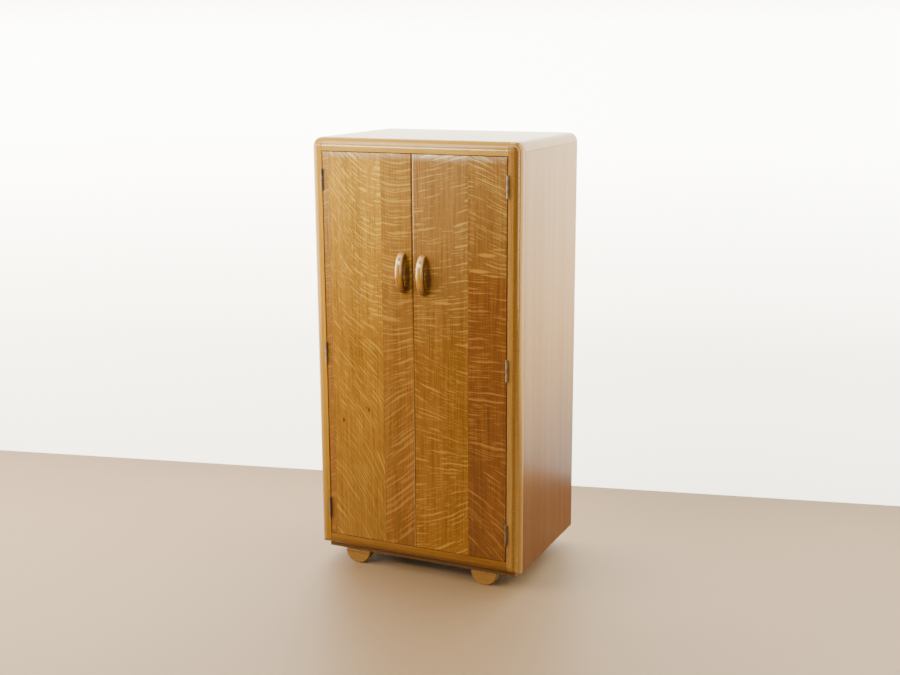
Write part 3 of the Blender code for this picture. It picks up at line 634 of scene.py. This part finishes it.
def new_object(name, data):
    thing = bpy.data.objects.new(name, data)
    bpy.context.scene.collection.objects.link(thing)
    return thing


def add_piece(name, mesh, finish, body, replaced=(), flat_sided=True):
    """Puts a mesh that is in the row frame into the scene as a piece of a body, in one of FINISHES."""
    mesh.name = name
    mesh.materials.clear()
    mesh.materials.append(FINISHES[finish])
    mesh.shade_smooth()
    mesh.set_sharp_from_angle(angle=math.radians(40))
    piece = new_object(name, mesh)
    if flat_sided:
        normals = piece.modifiers.new("flat faces stay flat", "WEIGHTED_NORMAL")
        normals.keep_sharp = True
    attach(piece, body)
    if replaced:
        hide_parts(*replaced)


def to_mesh(shape, name="shape"):
    mesh = bpy.data.meshes.new(name)
    shape.to_mesh(mesh)
    shape.free()
    return mesh


def bevel(shape, edges, radius, segments, clamp=False):
    """Rounds off some of a shape's edges."""
    bmesh.ops.bevel(
        shape, geom=edges, offset=radius, segments=segments, profile=0.5, affect="EDGES", clamp_overlap=clamp
    )


def box_shape(low, high, radius=0.0, segments=3):
    """A box between two corners, with its edges rounded."""
    low, high = Vector(low), Vector(high)
    shape = bmesh.new()
    place = Matrix.Translation((low + high) / 2)
    bmesh.ops.create_cube(shape, size=1, matrix=place @ Matrix.Diagonal((*(high - low), 1)))
    if radius:
        bevel(shape, shape.edges[:], radius, segments)
    return shape


def box_mesh(low, high, radius=0.0, segments=3):
    return to_mesh(box_shape(low, high, radius, segments))


def boolean_mesh(base, tools, operation="DIFFERENCE"):
    """The mesh of base cut by, or kept inside, each of the tool meshes."""
    target = new_object("target", base)
    helpers = []
    for tool in tools:
        helper = new_object("tool", tool)
        helpers.append(helper)
        modifier = target.modifiers.new("cut", "BOOLEAN")
        modifier.operation = operation
        modifier.solver = "EXACT"
        modifier.object = helper
    bpy.context.view_layer.update()
    graph = bpy.context.evaluated_depsgraph_get()
    mesh = bpy.data.meshes.new_from_object(target.evaluated_get(graph))
    for helper in (target, *helpers):
        bpy.data.objects.remove(helper, do_unlink=True)
    return mesh


def soften(mesh, radius):
    """Takes the sharpness off a mesh's hard edges."""
    shape = bmesh.new()
    shape.from_mesh(mesh)
    bmesh.ops.remove_doubles(shape, verts=shape.verts, dist=1e-6)
    bmesh.ops.dissolve_degenerate(shape, edges=shape.edges, dist=1e-6)
    edges = [edge for edge in shape.edges if edge.is_manifold]
    bevel(shape, [edge for edge in edges if edge.calc_face_angle(0) > HARD_ANGLE], radius, 2, True)
    shape.to_mesh(mesh)
    shape.free()
    return mesh


def even_profile(upper):
    """A profile whose lower half mirrors its upper half."""
    return upper + [(radius, -height) for radius, height in reversed(upper)]


def lathe_shape(profile, centre, axis="Z", steps=32):
    """A turned form whose profile is (radius, height) points, with its height along an axis."""
    shape = bmesh.new()
    start = [shape.verts.new((radius, 0, height)) for radius, height in profile]
    edges = [shape.edges.new(pair) for pair in zip(start, start[1:])]
    bmesh.ops.spin(
        shape, geom=start + edges, cent=(0, 0, 0), axis=(0, 0, 1), angle=2 * math.pi, steps=steps,
        use_merge=True,
    )
    bmesh.ops.remove_doubles(shape, verts=shape.verts, dist=1e-6)
    bmesh.ops.recalc_face_normals(shape, faces=shape.faces)
    turn = {
        "Z": Matrix.Identity(4), "X": Matrix.Rotation(math.pi / 2, 4, "Y"),
        "-X": Matrix.Rotation(-math.pi / 2, 4, "Y"), "Y": Matrix.Rotation(-math.pi / 2, 4, "X"),
    }[axis]
    bmesh.ops.transform(shape, matrix=Matrix.Translation(centre) @ turn, verts=shape.verts)
    return shape


def lathe_mesh(profile, centre, axis="Z", steps=32):
    return to_mesh(lathe_shape(profile, centre, axis, steps))


def joined(shapes):
    """One mesh of several closed forms."""
    whole = bmesh.new()
    for shape in shapes:
        part = to_mesh(shape)
        whole.from_mesh(part)
        bpy.data.meshes.remove(part)
    return to_mesh(whole)


# ---------------------------------------------------------------- carcase

EDGE_RADIUS = 0.027
EDGE_SEGMENTS = 14
ARRIS = 0.0007
OVERSIZE = 0.010
SLOT_OVERSIZE = 0.004
STRIKE_OVERSIZE = 0.002
CLEARANCE = Vector((0.0003, 0.0003, 0.0003))
BACK_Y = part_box("top_board")[1].y


def envelope_mesh():
    """The carcase's outer form: rounded, apart from the edges around the back and under the sides."""
    low = Vector((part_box("stile_left")[0].x, FRONT_Y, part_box("stile_left")[0].z))
    high = Vector((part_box("stile_right")[1].x, BACK_Y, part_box("stile_right")[1].z))
    middle = (low + high) / 2
    shape = box_shape(low, high)
    rounded = []
    for edge in shape.edges:
        first, second = (vert.co - middle for vert in edge.verts)
        around_back = first.y > 0 and second.y > 0
        under_side = first.z < 0 and second.z < 0 and first.x * second.x > 0
        if not around_back and not under_side:
            rounded.append(edge)
    bevel(shape, rounded, EDGE_RADIUS, EDGE_SEGMENTS)
    return to_mesh(shape, "envelope")


def enveloped(node, grow, cutters=()):
    """A board's box, grown towards the named outer sides and then kept inside the rounded envelope."""
    low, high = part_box(node)
    for direction in grow:
        axis = "xyz".index(direction[1])
        corner = low if direction[0] == "-" else high
        corner[axis] += -OVERSIZE if direction[0] == "-" else OVERSIZE
    mesh = boolean_mesh(box_mesh(low, high), [envelope_mesh()], "INTERSECT")
    if cutters:
        mesh = boolean_mesh(mesh, cutters)
    return soften(mesh, ARRIS)


def leaf_pockets(side, owner):
    """What is cut out of a stile or a door: a slot for each leaf, with a hollow for its knuckles."""
    direction = SIDES[side] if owner == "frame" else -SIDES[side]
    margin = CLEARANCE.x
    pockets = []
    for level in LEVELS:
        low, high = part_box(f"hinge_{owner}_leaf_{side}_{level}")
        axis = middle_of(f"hinge_pin_{side}_{level}")
        inner, outer = sorted(
            (axis.x + direction * (LEAF_INNER - margin), axis.x + direction * (LEAF_OUTER + margin))
        )
        front, bottom, top = FRONT_Y - SLOT_OVERSIZE, low.z - margin, high.z + margin
        pockets.append(box_mesh((inner, front, bottom), (outer, high.y + margin, top)))
        reach = KNUCKLE_RADIUS + margin
        pockets.append(box_mesh((axis.x - reach, front, bottom), (axis.x + reach, axis.y + reach, top)))
    return pockets


def strike_pocket(side):
    """The recess for a strike plate, open below."""
    low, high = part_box(f"catch_strike_{side}")
    return box_mesh(low - CLEARANCE - Vector((0, 0, STRIKE_OVERSIZE)), high + CLEARANCE)


def build_carcase():
    """The face frame, the top and bottom boards and the sides, then the back and the base."""
    for side, sign in SIDES.items():
        outward = "-x" if sign < 0 else "+x"
        stile = enveloped(f"stile_{side}", (outward, "-y", "-z", "+z"), leaf_pockets(side, "frame"))
        node = f"stile_{side}"
        add_piece(f"frame_{node}", stile, f"upright_{side}", "carcase", [node])
    strikes = [strike_pocket(side) for side in SIDES]
    rail = enveloped("top_rail", ("-y", "+z"), strikes)
    add_piece("frame_top_rail", rail, "rail", "carcase", ["top_rail"])
    rail = enveloped("bottom_rail", ("-y", "-z"))
    add_piece("frame_bottom_rail", rail, "level", "carcase", ["bottom_rail"])
    back_low, back_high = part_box("back_panel")
    rebate = (back_low - CLEARANCE, back_high + CLEARANCE + Vector((0, OVERSIZE, 0)))
    board = enveloped("top_board", ("-x", "+x", "+z"), [box_mesh(*rebate)])
    add_piece("carcase_top_board", board, "top", "carcase", ["top_board"])
    board = enveloped("bottom_board", (), [box_mesh(*rebate)])
    add_piece("carcase_bottom_board", board, "shelf", "carcase", ["bottom_board"])
    for side in SIDES:
        node = f"side_panel_{side}"
        panel = boolean_mesh(box_mesh(*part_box(node)), [box_mesh(*rebate)])
        panel = soften(panel, ARRIS / 2)
        add_piece(f"carcase_side_{side}", panel, f"side_{side}", "carcase", [node])
    build_back(back_low, back_high)
    build_base()


PIN_SPACING = 0.11
PIN_INSET = 0.006
PIN_PROFILE = [(0, 0.0003), (0.0010, 0.0002), (0.0013, 0), (0.0013, -0.001), (0, -0.001)]


def add_board(name, node, finish, rounding, segments):
    """A carcase board that is its CAD box with rounded edges."""
    board = box_mesh(*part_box(node), rounding, segments)
    add_piece(name, board, finish, "carcase", [node])


def build_back(low, high):
    """The plywood back and the small pins that hold it in its rebates."""
    add_board("plywood_back", "back_panel", "plywood", 0.0006, 2)
    wide, tall = high.x - low.x, high.z - low.z
    places = []
    for i in range(round(wide / PIN_SPACING) + 1):
        x = low.x + PIN_INSET + (wide - 2 * PIN_INSET) * i / round(wide / PIN_SPACING)
        places += [(x, low.z + PIN_INSET), (x, high.z - PIN_INSET)]
    for i in range(1, round(tall / PIN_SPACING)):
        z = low.z + PIN_INSET + (tall - 2 * PIN_INSET) * i / round(tall / PIN_SPACING)
        places += [(low.x + PIN_INSET, z), (high.x - PIN_INSET, z)]
    heads = [lathe_shape(PIN_PROFILE, (x, high.y, z), "Y", 10) for x, z in places]
    add_piece("back_pins", joined(heads), "steel", "carcase")


FOOT_EDGE = 0.003
FOOT_FLAT_DEPTH = 0.0005
FOOT_STEPS = 48


def build_base():
    """The board under the carcase, and its four feet."""
    add_board("base", "base_board", "base", 0.0015, 3)
    for end in ("front", "back"):
        for side in SIDES:
            node = f"foot_{end}_{side}"
            name = f"half_disc_{end}_{side}"
            add_piece(name, foot_mesh(node), "foot", "carcase", [node])


def foot_mesh(node):
    """A half-disc of oak with softened edges, standing on a narrow flat."""
    low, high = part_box(node)
    radius, height = (high.x - low.x) / 2, high.z - low.z + FOOT_FLAT_DEPTH
    shape = bmesh.new()
    rim = []
    for i in range(FOOT_STEPS + 1):
        angle = math.pi + math.pi * i / FOOT_STEPS
        z = high.z + height * math.sin(angle)
        rim.append(shape.verts.new((middle_of(node).x + radius * math.cos(angle), low.y, max(z, low.z))))
    face = shape.faces.new(rim)
    solid = bmesh.ops.extrude_face_region(shape, geom=[face])
    moved = [item for item in solid["geom"] if isinstance(item, bmesh.types.BMVert)]
    bmesh.ops.translate(shape, verts=moved, vec=(0, high.y - low.y, 0))
    bmesh.ops.recalc_face_normals(shape, faces=shape.faces)
    edges = [edge for edge in shape.edges if edge.calc_face_angle(0) > math.radians(60)]
    bevel(shape, edges, FOOT_EDGE, 3)
    return to_mesh(shape, node)


# ---------------------------------------------------------------- interior


def build_interior():
    """The strip the doors close against, the hat shelf on its cleats, and the hanging rail."""
    add_board("stop_strip", "door_stop", "shelf", 0.001, 2)
    add_board("shelf", "hat_shelf", "shelf", 0.0025, 3)
    for side in SIDES:
        add_board(f"cleat_{side}", f"shelf_cleat_{side}", "core", 0.0015, 2)
    build_rail()


RAIL_ARRIS = 0.001
SOCKET_CUP_RADIUS = 0.0135
SOCKET_PLATE = 0.003
SOCKET_FILLET = 0.002
SOCKET_ARRIS = 0.0012


def build_rail():
    """The hanging rail, and the flanged cups that hold its ends."""
    low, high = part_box("hanging_rail")
    radius, half = (high.z - low.z) / 2, (high.x - low.x) / 2
    profile = even_profile([(0, half), (radius - RAIL_ARRIS, half), (radius, half - RAIL_ARRIS)])
    rail = lathe_mesh(profile, middle_of("hanging_rail"), "X", 40)
    add_piece("clothes_rail", rail, "brass", "carcase", ["hanging_rail"])
    bore, cup, plate = radius + CLEARANCE.x, SOCKET_CUP_RADIUS, SOCKET_PLATE
    for side, sign in SIDES.items():
        node = f"rail_socket_{side}"
        low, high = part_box(node)
        centre = middle_of(node)
        flange, length = (high.z - low.z) / 2, high.x - low.x
        profile = [
            (0, plate), (bore, plate), (bore, length), (cup - RAIL_ARRIS, length),
            (cup, length - RAIL_ARRIS), (cup, plate + SOCKET_FILLET), (cup + SOCKET_FILLET, plate),
            (flange - SOCKET_ARRIS, plate), (flange, plate - SOCKET_ARRIS), (flange, 0), (0, 0),
        ]
        wall = Vector((high.x if sign > 0 else low.x, centre.y, centre.z))
        socket = lathe_mesh(profile, wall, "-X" if sign > 0 else "X", 40)
        add_piece(f"socket_{side}", socket, "brass", "carcase", [node])


# ---------------------------------------------------------------- doors

HINGED_STRIPS = ("left_edge", "right_outer")


def build_door(side):
    """A door: its board, its veneer strips, and what is fixed to it."""
    body = f"door_{side}"
    node = f"door_core_{side}"
    core = boolean_mesh(box_mesh(*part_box(node)), leaf_pockets(side, "door"))
    add_piece(f"board_{side}", soften(core, 0.0004), "core", body, [node])
    for strip in [name for name in STRIPS if name.startswith(side)]:
        node = f"door_facing_{strip}"
        facing = box_mesh(*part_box(node))
        if strip in HINGED_STRIPS:
            facing = boolean_mesh(facing, leaf_pockets(side, "door"))
        name = f"veneer_{strip}"
        add_piece(name, soften(facing, 0.0002), name, body, [node])
    build_handle(side, body)
    build_catch(side, body)
    for level in LEVELS:
        build_hinge(side, level, body)


HANDLE_FULLNESS = 2.1
HANDLE_TAPER = 0.30
FINGER_HALF_HEIGHT = 0.038
FINGER_DEPTH = 0.0155
HANDLE_RINGS = 72
HANDLE_RING_POINTS = 44
SQUARENESS_MIDDLE = 2.8
SQUARENESS_FEET = 2.0


def arch_point(half_height, rise, fullness, t):
    """A point on an arch, as (out, up), from its lower foot at t = -1 to its upper foot at t = 1."""
    angle = t * math.pi / 2
    out = rise * max(math.cos(angle), 0) ** (2 / fullness)
    up = half_height * math.copysign(abs(math.sin(angle)) ** (2 / fullness), angle)
    return Vector((out, up))


def handle_mesh(low, high):
    """A carved half-moon pull: rounded sections lofted along an arch, flat on the door at both ends."""
    half_height = (high.z - low.z) / 2
    half_width = (high.x - low.x) / 2
    centre = (low + high) / 2
    shape = bmesh.new()
    rings = []
    for ring_index in range(HANDLE_RINGS + 1):
        t = -1 + 2 * ring_index / HANDLE_RINGS
        over = arch_point(half_height, high.y - low.y, HANDLE_FULLNESS, t)
        under = arch_point(FINGER_HALF_HEIGHT, FINGER_DEPTH, 2, t)
        middle, reach = (over + under) / 2, (over - under) / 2
        foot_share = abs(t) ** 3
        width = half_width * (1 - HANDLE_TAPER * foot_share)
        squareness = SQUARENESS_MIDDLE * (1 - foot_share) + SQUARENESS_FEET * foot_share
        ring = []
        for point_index in range(HANDLE_RING_POINTS):
            angle = 2 * math.pi * point_index / HANDLE_RING_POINTS
            cosine, sine = math.cos(angle), math.sin(angle)
            point = middle + reach * math.copysign(abs(cosine) ** (2 / squareness), cosine)
            across = width * math.copysign(abs(sine) ** (2 / squareness), sine)
            ring.append(shape.verts.new((centre.x + across, high.y - point.x, centre.z + point.y)))
        rings.append(ring)
    for lower, upper in zip(rings, rings[1:]):
        for i in range(HANDLE_RING_POINTS):
            j = (i + 1) % HANDLE_RING_POINTS
            shape.faces.new((lower[i], lower[j], upper[j], upper[i]))
    shape.faces.new(rings[0])
    shape.faces.new(rings[-1])
    bmesh.ops.recalc_face_normals(shape, faces=shape.faces)
    return to_mesh(shape, "handle")


SCREW_SHANK_RADIUS = 0.002
SCREW_POINT_LENGTH = 0.003
SCREW_SLOT_DEPTH = 0.0009
SCREW_SLOT_HALF_WIDTH = 0.0004


def build_handle(side, body):
    """A pull, and the two slotted screws that hold it from inside the door."""
    node = f"handle_{side}"
    add_piece(f"pull_{side}", handle_mesh(*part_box(node)), node, body, [node], False)
    for level in ("upper", "lower"):
        node = f"handle_screw_{side}_{level}"
        low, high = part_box(node)
        at = middle_of(node)
        at.y = high.y
        head, length, shank = (high.x - low.x) / 2, high.y - low.y, SCREW_SHANK_RADIUS
        profile = [(0, 0), (head * 0.5, -0.0002), (head * 0.9, -0.0010), (head, -0.0020)]
        profile += [(shank, -0.0021), (shank, SCREW_POINT_LENGTH - length), (0, -length)]
        screw = lathe_mesh(profile, at, "Y", 28)
        reach = Vector((2 * head, 0, SCREW_SLOT_HALF_WIDTH))
        slot = box_mesh(at - reach - Vector((0, SCREW_SLOT_DEPTH, 0)), at + reach + Vector((0, 0.002, 0)))
        screw = boolean_mesh(screw, [slot])
        add_piece(f"screw_{side}_{level}", screw, "steel", body, [node], False)


CATCH_WALL = 0.0012
CATCH_LIP_RADIUS = 0.0035
SPRING_SHORTENING = 0.0021


def build_catch(side, body):
    """A ball catch: a barrel with a spring in the door's top edge, a ball, and the strike above it."""
    node = f"catch_barrel_{side}"
    low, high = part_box(node)
    centre = middle_of(node)
    radius, length = (high.x - low.x) / 2, high.z - low.z
    wall, lip = CATCH_WALL, CATCH_LIP_RADIUS
    profile = [
        (0, -length + wall), (radius - wall, -length + wall), (radius - wall, -0.0006), (lip, -0.0001),
        (lip + 0.0002, 0), (radius - 0.0002, 0), (radius, -0.0002), (radius, -length), (0, -length),
    ]
    barrel = lathe_mesh(profile, (centre.x, centre.y, high.z), "Z", 36)
    add_piece(f"barrel_{side}", barrel, "brass", body, [node])
    node = f"catch_ball_{side}"
    low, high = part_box(node)
    radius, place = (high.z - low.z) / 2, Matrix.Translation(middle_of(node))
    shape = bmesh.new()
    bmesh.ops.create_uvsphere(shape, u_segments=32, v_segments=20, radius=radius, matrix=place)
    add_piece(f"ball_{side}", to_mesh(shape), "steel", node, [node], False)
    node = f"catch_spring_{side}"
    add_piece(f"spring_{side}", spring_mesh(node), "steel", body, [node], False)
    node = f"catch_strike_{side}"
    hole = lathe_mesh(even_profile([(0, 0.005), (0.003, 0.005)]), middle_of(node), "Z", 28)
    plate = boolean_mesh(box_mesh(*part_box(node), 0.0002, 2), [hole])
    add_piece(f"strike_{side}", plate, "brass", "carcase", [node])


def spring_mesh(node):
    """A coil of round wire inside the CAD spring's box, short enough for the ball's whole travel."""
    low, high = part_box(node)
    high.z -= SPRING_SHORTENING
    wire, turns, per_turn, sides = 0.0004, 5, 20, 8
    radius = (high.x - low.x) / 2 - wire
    centre = middle_of(node)
    shape = bmesh.new()
    rings = []
    count = turns * per_turn
    for i in range(count + 1):
        angle = 2 * math.pi * i / per_turn
        out = Vector((math.cos(angle), math.sin(angle), 0))
        height = low.z + wire + (high.z - low.z - 2 * wire) * i / count
        at = Vector((centre.x, centre.y, height)) + out * radius
        ring = []
        for j in range(sides):
            turn = 2 * math.pi * j / sides
            offset = out * math.cos(turn) + Vector((0, 0, math.sin(turn)))
            ring.append(shape.verts.new(at + offset * wire))
        rings.append(ring)
    for a, b in zip(rings, rings[1:]):
        for j in range(sides):
            k = (j + 1) % sides
            shape.faces.new((a[j], b[j], b[k], a[k]))
    shape.faces.new(rings[0])
    shape.faces.new(rings[-1][::-1])
    bmesh.ops.recalc_face_normals(shape, faces=shape.faces)
    return to_mesh(shape, "spring")


# ---------------------------------------------------------------- hinges

KNUCKLES = 5
KNUCKLE_RADIUS = 0.0032
BORE_RADIUS = 0.0018
KNUCKLE_GAP = 0.0003
KNUCKLE_ARRIS = 0.0003
LEAF_INNER = 0.00015
LEAF_OUTER = 0.00165
LEAF_SCREW_HEAD = 0.0034
LEAF_SCREW_SPREAD = 0.36
LEAF_SCREW_STAGGER = 0.0045


def knuckle_shape(centre, half):
    """A tube around the pin, reaching half above its centre and half below."""
    edge = KNUCKLE_ARRIS
    upper = [(BORE_RADIUS, half), (KNUCKLE_RADIUS - edge, half), (KNUCKLE_RADIUS, half - edge)]
    return lathe_shape(even_profile(upper) + upper[:1], centre, "Z", 28)


def leaf_shapes(owner, side, level, direction):
    """What a leaf is made of: its plate, every second knuckle, and three screws."""
    low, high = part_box(f"hinge_pin_{side}_{level}")
    axis = middle_of(f"hinge_pin_{side}_{level}")
    length = high.z - low.z
    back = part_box(f"hinge_{owner}_leaf_{side}_{level}")[1].y
    inner, outer = sorted((axis.x + direction * LEAF_INNER, axis.x + direction * LEAF_OUTER))
    shapes = [box_shape((inner, FRONT_Y, low.z), (outer, back, high.z), 0.0003, 2)]
    half = (length / KNUCKLES - KNUCKLE_GAP) / 2
    for index in range(0 if owner == "frame" else 1, KNUCKLES, 2):
        z = low.z + (index + 0.5) * length / KNUCKLES
        shapes.append(knuckle_shape((axis.x, axis.y, z), half))
        web_low, web_high = (inner, axis.y + 0.0022, z - half), (outer, FRONT_Y + 0.001, z + half)
        shapes.append(box_shape(web_low, web_high))
    screw = leaf_screw(direction)
    for offset in (-LEAF_SCREW_SPREAD, 0, LEAF_SCREW_SPREAD):
        y = (FRONT_Y + back) / 2 + (LEAF_SCREW_STAGGER if offset else -LEAF_SCREW_STAGGER)
        at = Vector((axis.x + direction * LEAF_INNER, y, axis.z + offset * length))
        shapes.append(moved_shape(screw, at))
    return shapes


def build_hinge(side, level, door_body):
    """A butt hinge: two leaves with alternate knuckles, and a pin with domed ends."""
    sign = SIDES[side]
    for owner, body, direction in (("frame", "carcase", sign), ("door", door_body, -sign)):
        leaf = joined(leaf_shapes(owner, side, level, direction))
        node = f"hinge_{owner}_leaf_{side}_{level}"
        add_piece(f"leaf_{owner}_{side}_{level}", leaf, "hinge", body, [node])
    node = f"hinge_pin_{side}_{level}"
    low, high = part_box(node)
    radius, half = (high.x - low.x) / 2, (high.z - low.z) / 2
    profile = even_profile([(0, half), (radius * 0.7, half - 0.0002), (radius, half - 0.0008)])
    pin = lathe_mesh(profile, middle_of(node), "Z", 24)
    add_piece(f"pin_{side}_{level}", pin, "hinge", "carcase", [node])


def leaf_screw(direction):
    """A countersunk screw head with a slot, proud of its leaf by a hair. Its middle is at the origin."""
    rise, half_slot, slot_depth, rim = 0.00008, 0.0004, 0.0005, LEAF_SCREW_HEAD
    profile = [(0, rise), (rim - 0.0004, rise), (rim, 0), (0.002, -0.0012), (0, -0.0012)]
    head = lathe_mesh(profile, (0, 0, 0), "-X" if direction > 0 else "X", 20)
    slot = box_mesh((-slot_depth, -half_slot, -2 * rim), (slot_depth, half_slot, 2 * rim))
    return boolean_mesh(head, [slot])


def moved_shape(mesh, place):
    """A copy of a mesh as a shape, moved from the origin to a place."""
    shape = bmesh.new()
    shape.from_mesh(mesh)
    bmesh.ops.translate(shape, verts=shape.verts, vec=place)
    return shape


# ---------------------------------------------------------------- studio

CAMERA_PLACE = (1.6046, -3.4489, 1.5474)
CAMERA_AZIMUTH, CAMERA_DOWN, CAMERA_ROLL = (math.radians(angle) for angle in (24.724, 12.648, -0.2925))
CAMERA_LENS = 51.13


def build_camera():
    """A camera a little right of the front, at standing eye height."""
    sine, cosine = math.sin(CAMERA_AZIMUTH), math.cos(CAMERA_AZIMUTH)
    ahead = math.cos(CAMERA_DOWN)
    forward = Vector((-sine * ahead, cosine * ahead, -math.sin(CAMERA_DOWN)))
    level = Vector((cosine, sine, 0))
    upward = level.cross(forward)
    right = level * math.cos(CAMERA_ROLL) + upward * math.sin(CAMERA_ROLL)
    up = -level * math.sin(CAMERA_ROLL) + upward * math.cos(CAMERA_ROLL)
    data = bpy.data.cameras.new("camera")
    data.sensor_width = 36.0
    data.lens = CAMERA_LENS
    data.clip_end = 50.0
    camera = new_object("camera", data)
    turn = Matrix((right, up, -forward)).transposed().to_4x4()
    camera.matrix_world = Matrix.Translation(CAMERA_PLACE) @ turn
    bpy.context.scene.camera = camera


# Each light: its place, what it points at, its size, its power and its colour.
LIGHTS = {
    "window_front": ((-1.3, -2.1, 1.8), (-0.1, 0, 1.0), (1.5, 0.45), 62, (1.0, 0.89, 0.72)),
    "window_left": ((-2.4, -1.2, 1.25), (0, -0.1, 0.95), (1.2, 2.1), 96, (1.0, 0.86, 0.64)),
    "skylight": ((-0.8, -1.0, 2.5), (0, -0.1, 1.2), (1.0, 1.0), 30, (1.0, 0.90, 0.72)),
    "window_right": ((2.3, 0.4, 2.0), (0.3, 0, 1.1), (1.1, 1.1), 30, (1.0, 0.92, 0.78)),
    "slit_right": ((2.2, -1.0, 1.2), (0.3, -0.2, 0.95), (0.20, 1.8), 19, (1.0, 0.94, 0.82)),
}
WORLD_COLOUR, WORLD_STRENGTH = (1.0, 0.93, 0.82, 1.0), 0.30


def build_lights():
    """Soft light from all around, with five windows."""
    world = bpy.data.worlds.new("studio")
    world.use_nodes = True
    background = world.node_tree.nodes["Background"]
    background.inputs["Color"].default_value = WORLD_COLOUR
    background.inputs["Strength"].default_value = WORLD_STRENGTH
    bpy.context.scene.world = world
    for name, (place, target, size, power, colour) in LIGHTS.items():
        data = bpy.data.lights.new(name, "AREA")
        data.shape = "RECTANGLE"
        data.size, data.size_y = size
        data.energy = power
        data.color = colour
        light = new_object(name, data)
        aim = (Vector(target) - Vector(place)).to_track_quat("-Z", "Y")
        light.matrix_world = Matrix.Translation(place) @ aim.to_matrix().to_4x4()


FLOOR_REACH = 12.0
FLOOR_COLOURS = (0.225, 0.146, 0.076), (0.255, 0.167, 0.089)
WALL_NORMAL = Vector((-0.2258, 0.9742, 0))
WALL_DISTANCE = 0.698
WALL_HEIGHT = 4.0
WALL_COLOUR = (0.8, 0.8, 0.78, 1.0)
# The wall's glow: (share of GLOW_TOP's height, brightness), and then its tint and its strength.
GLOW_STOPS = (0.0, 0.31), (0.17, 0.40), (0.33, 0.72), (0.43, 1.0), (0.54, 1.0), (0.63, 0.22), (1.0, 0.08)
GLOW_TOP = 3.0
GLOW_TINT = (1.0, 0.995, 0.86)
GLOW_STRENGTH = 11.5


def wall_material():
    """A white wall that glows, most of all high up. It can only be seen from the armoire's side."""
    graph = Graph("white_wall")
    up = graph.times(graph.place()[2], 1 / GLOW_TOP)
    glow = graph.ramp(up, [(share, (grey,) * 3) for share, grey in GLOW_STOPS])
    glow = graph.mix(1.0, glow, GLOW_TINT, "MULTIPLY")
    graph.finish(
        Base_Color=WALL_COLOUR, Roughness=0.9, Specular_IOR_Level=0.0, Emission_Color=glow,
        Emission_Strength=GLOW_STRENGTH,
    )
    tree = graph.tree
    geometry = tree.nodes.new("ShaderNodeNewGeometry")
    clear = tree.nodes.new("ShaderNodeBsdfTransparent")
    mix = tree.nodes.new("ShaderNodeMixShader")
    output = tree.nodes["Material Output"]
    tree.links.new(geometry.outputs["Backfacing"], mix.inputs[0])
    tree.links.new(graph.shader.outputs[0], mix.inputs[1])
    tree.links.new(clear.outputs[0], mix.inputs[2])
    tree.links.new(mix.outputs[0], output.inputs["Surface"])
    return graph.material


def floor_material():
    graph = Graph("pale_floor")
    x, y, z = graph.place()
    cloud = graph.noise(graph.vector(x, y, z), 2.0, 3.0)
    return graph.finish(Base_Color=graph.mix(cloud, *FLOOR_COLOURS), Roughness=0.55)


def build_studio():
    """A pale floor, and the wall behind the armoire that its right side and top mirror."""
    shape = bmesh.new()
    bmesh.ops.create_grid(shape, x_segments=1, y_segments=1, size=FLOOR_REACH)
    floor = new_object("floor", to_mesh(shape, "floor"))
    floor.data.materials.append(floor_material())
    along = Vector((WALL_NORMAL.y, -WALL_NORMAL.x, 0)) * FLOOR_REACH
    foot = WALL_NORMAL * WALL_DISTANCE
    rise = Vector((0, 0, WALL_HEIGHT))
    shape = bmesh.new()
    corners = (foot + along, foot + along + rise, foot - along + rise, foot - along)
    shape.faces.new([shape.verts.new(corner) for corner in corners])
    wall = new_object("wall", to_mesh(shape, "wall"))
    wall.data.materials.append(wall_material())


build_camera()
build_lights()
build_studio()
build_carcase()
build_interior()
for door_side in SIDES:
    build_door(door_side)

bpy.context.view_layer.update()
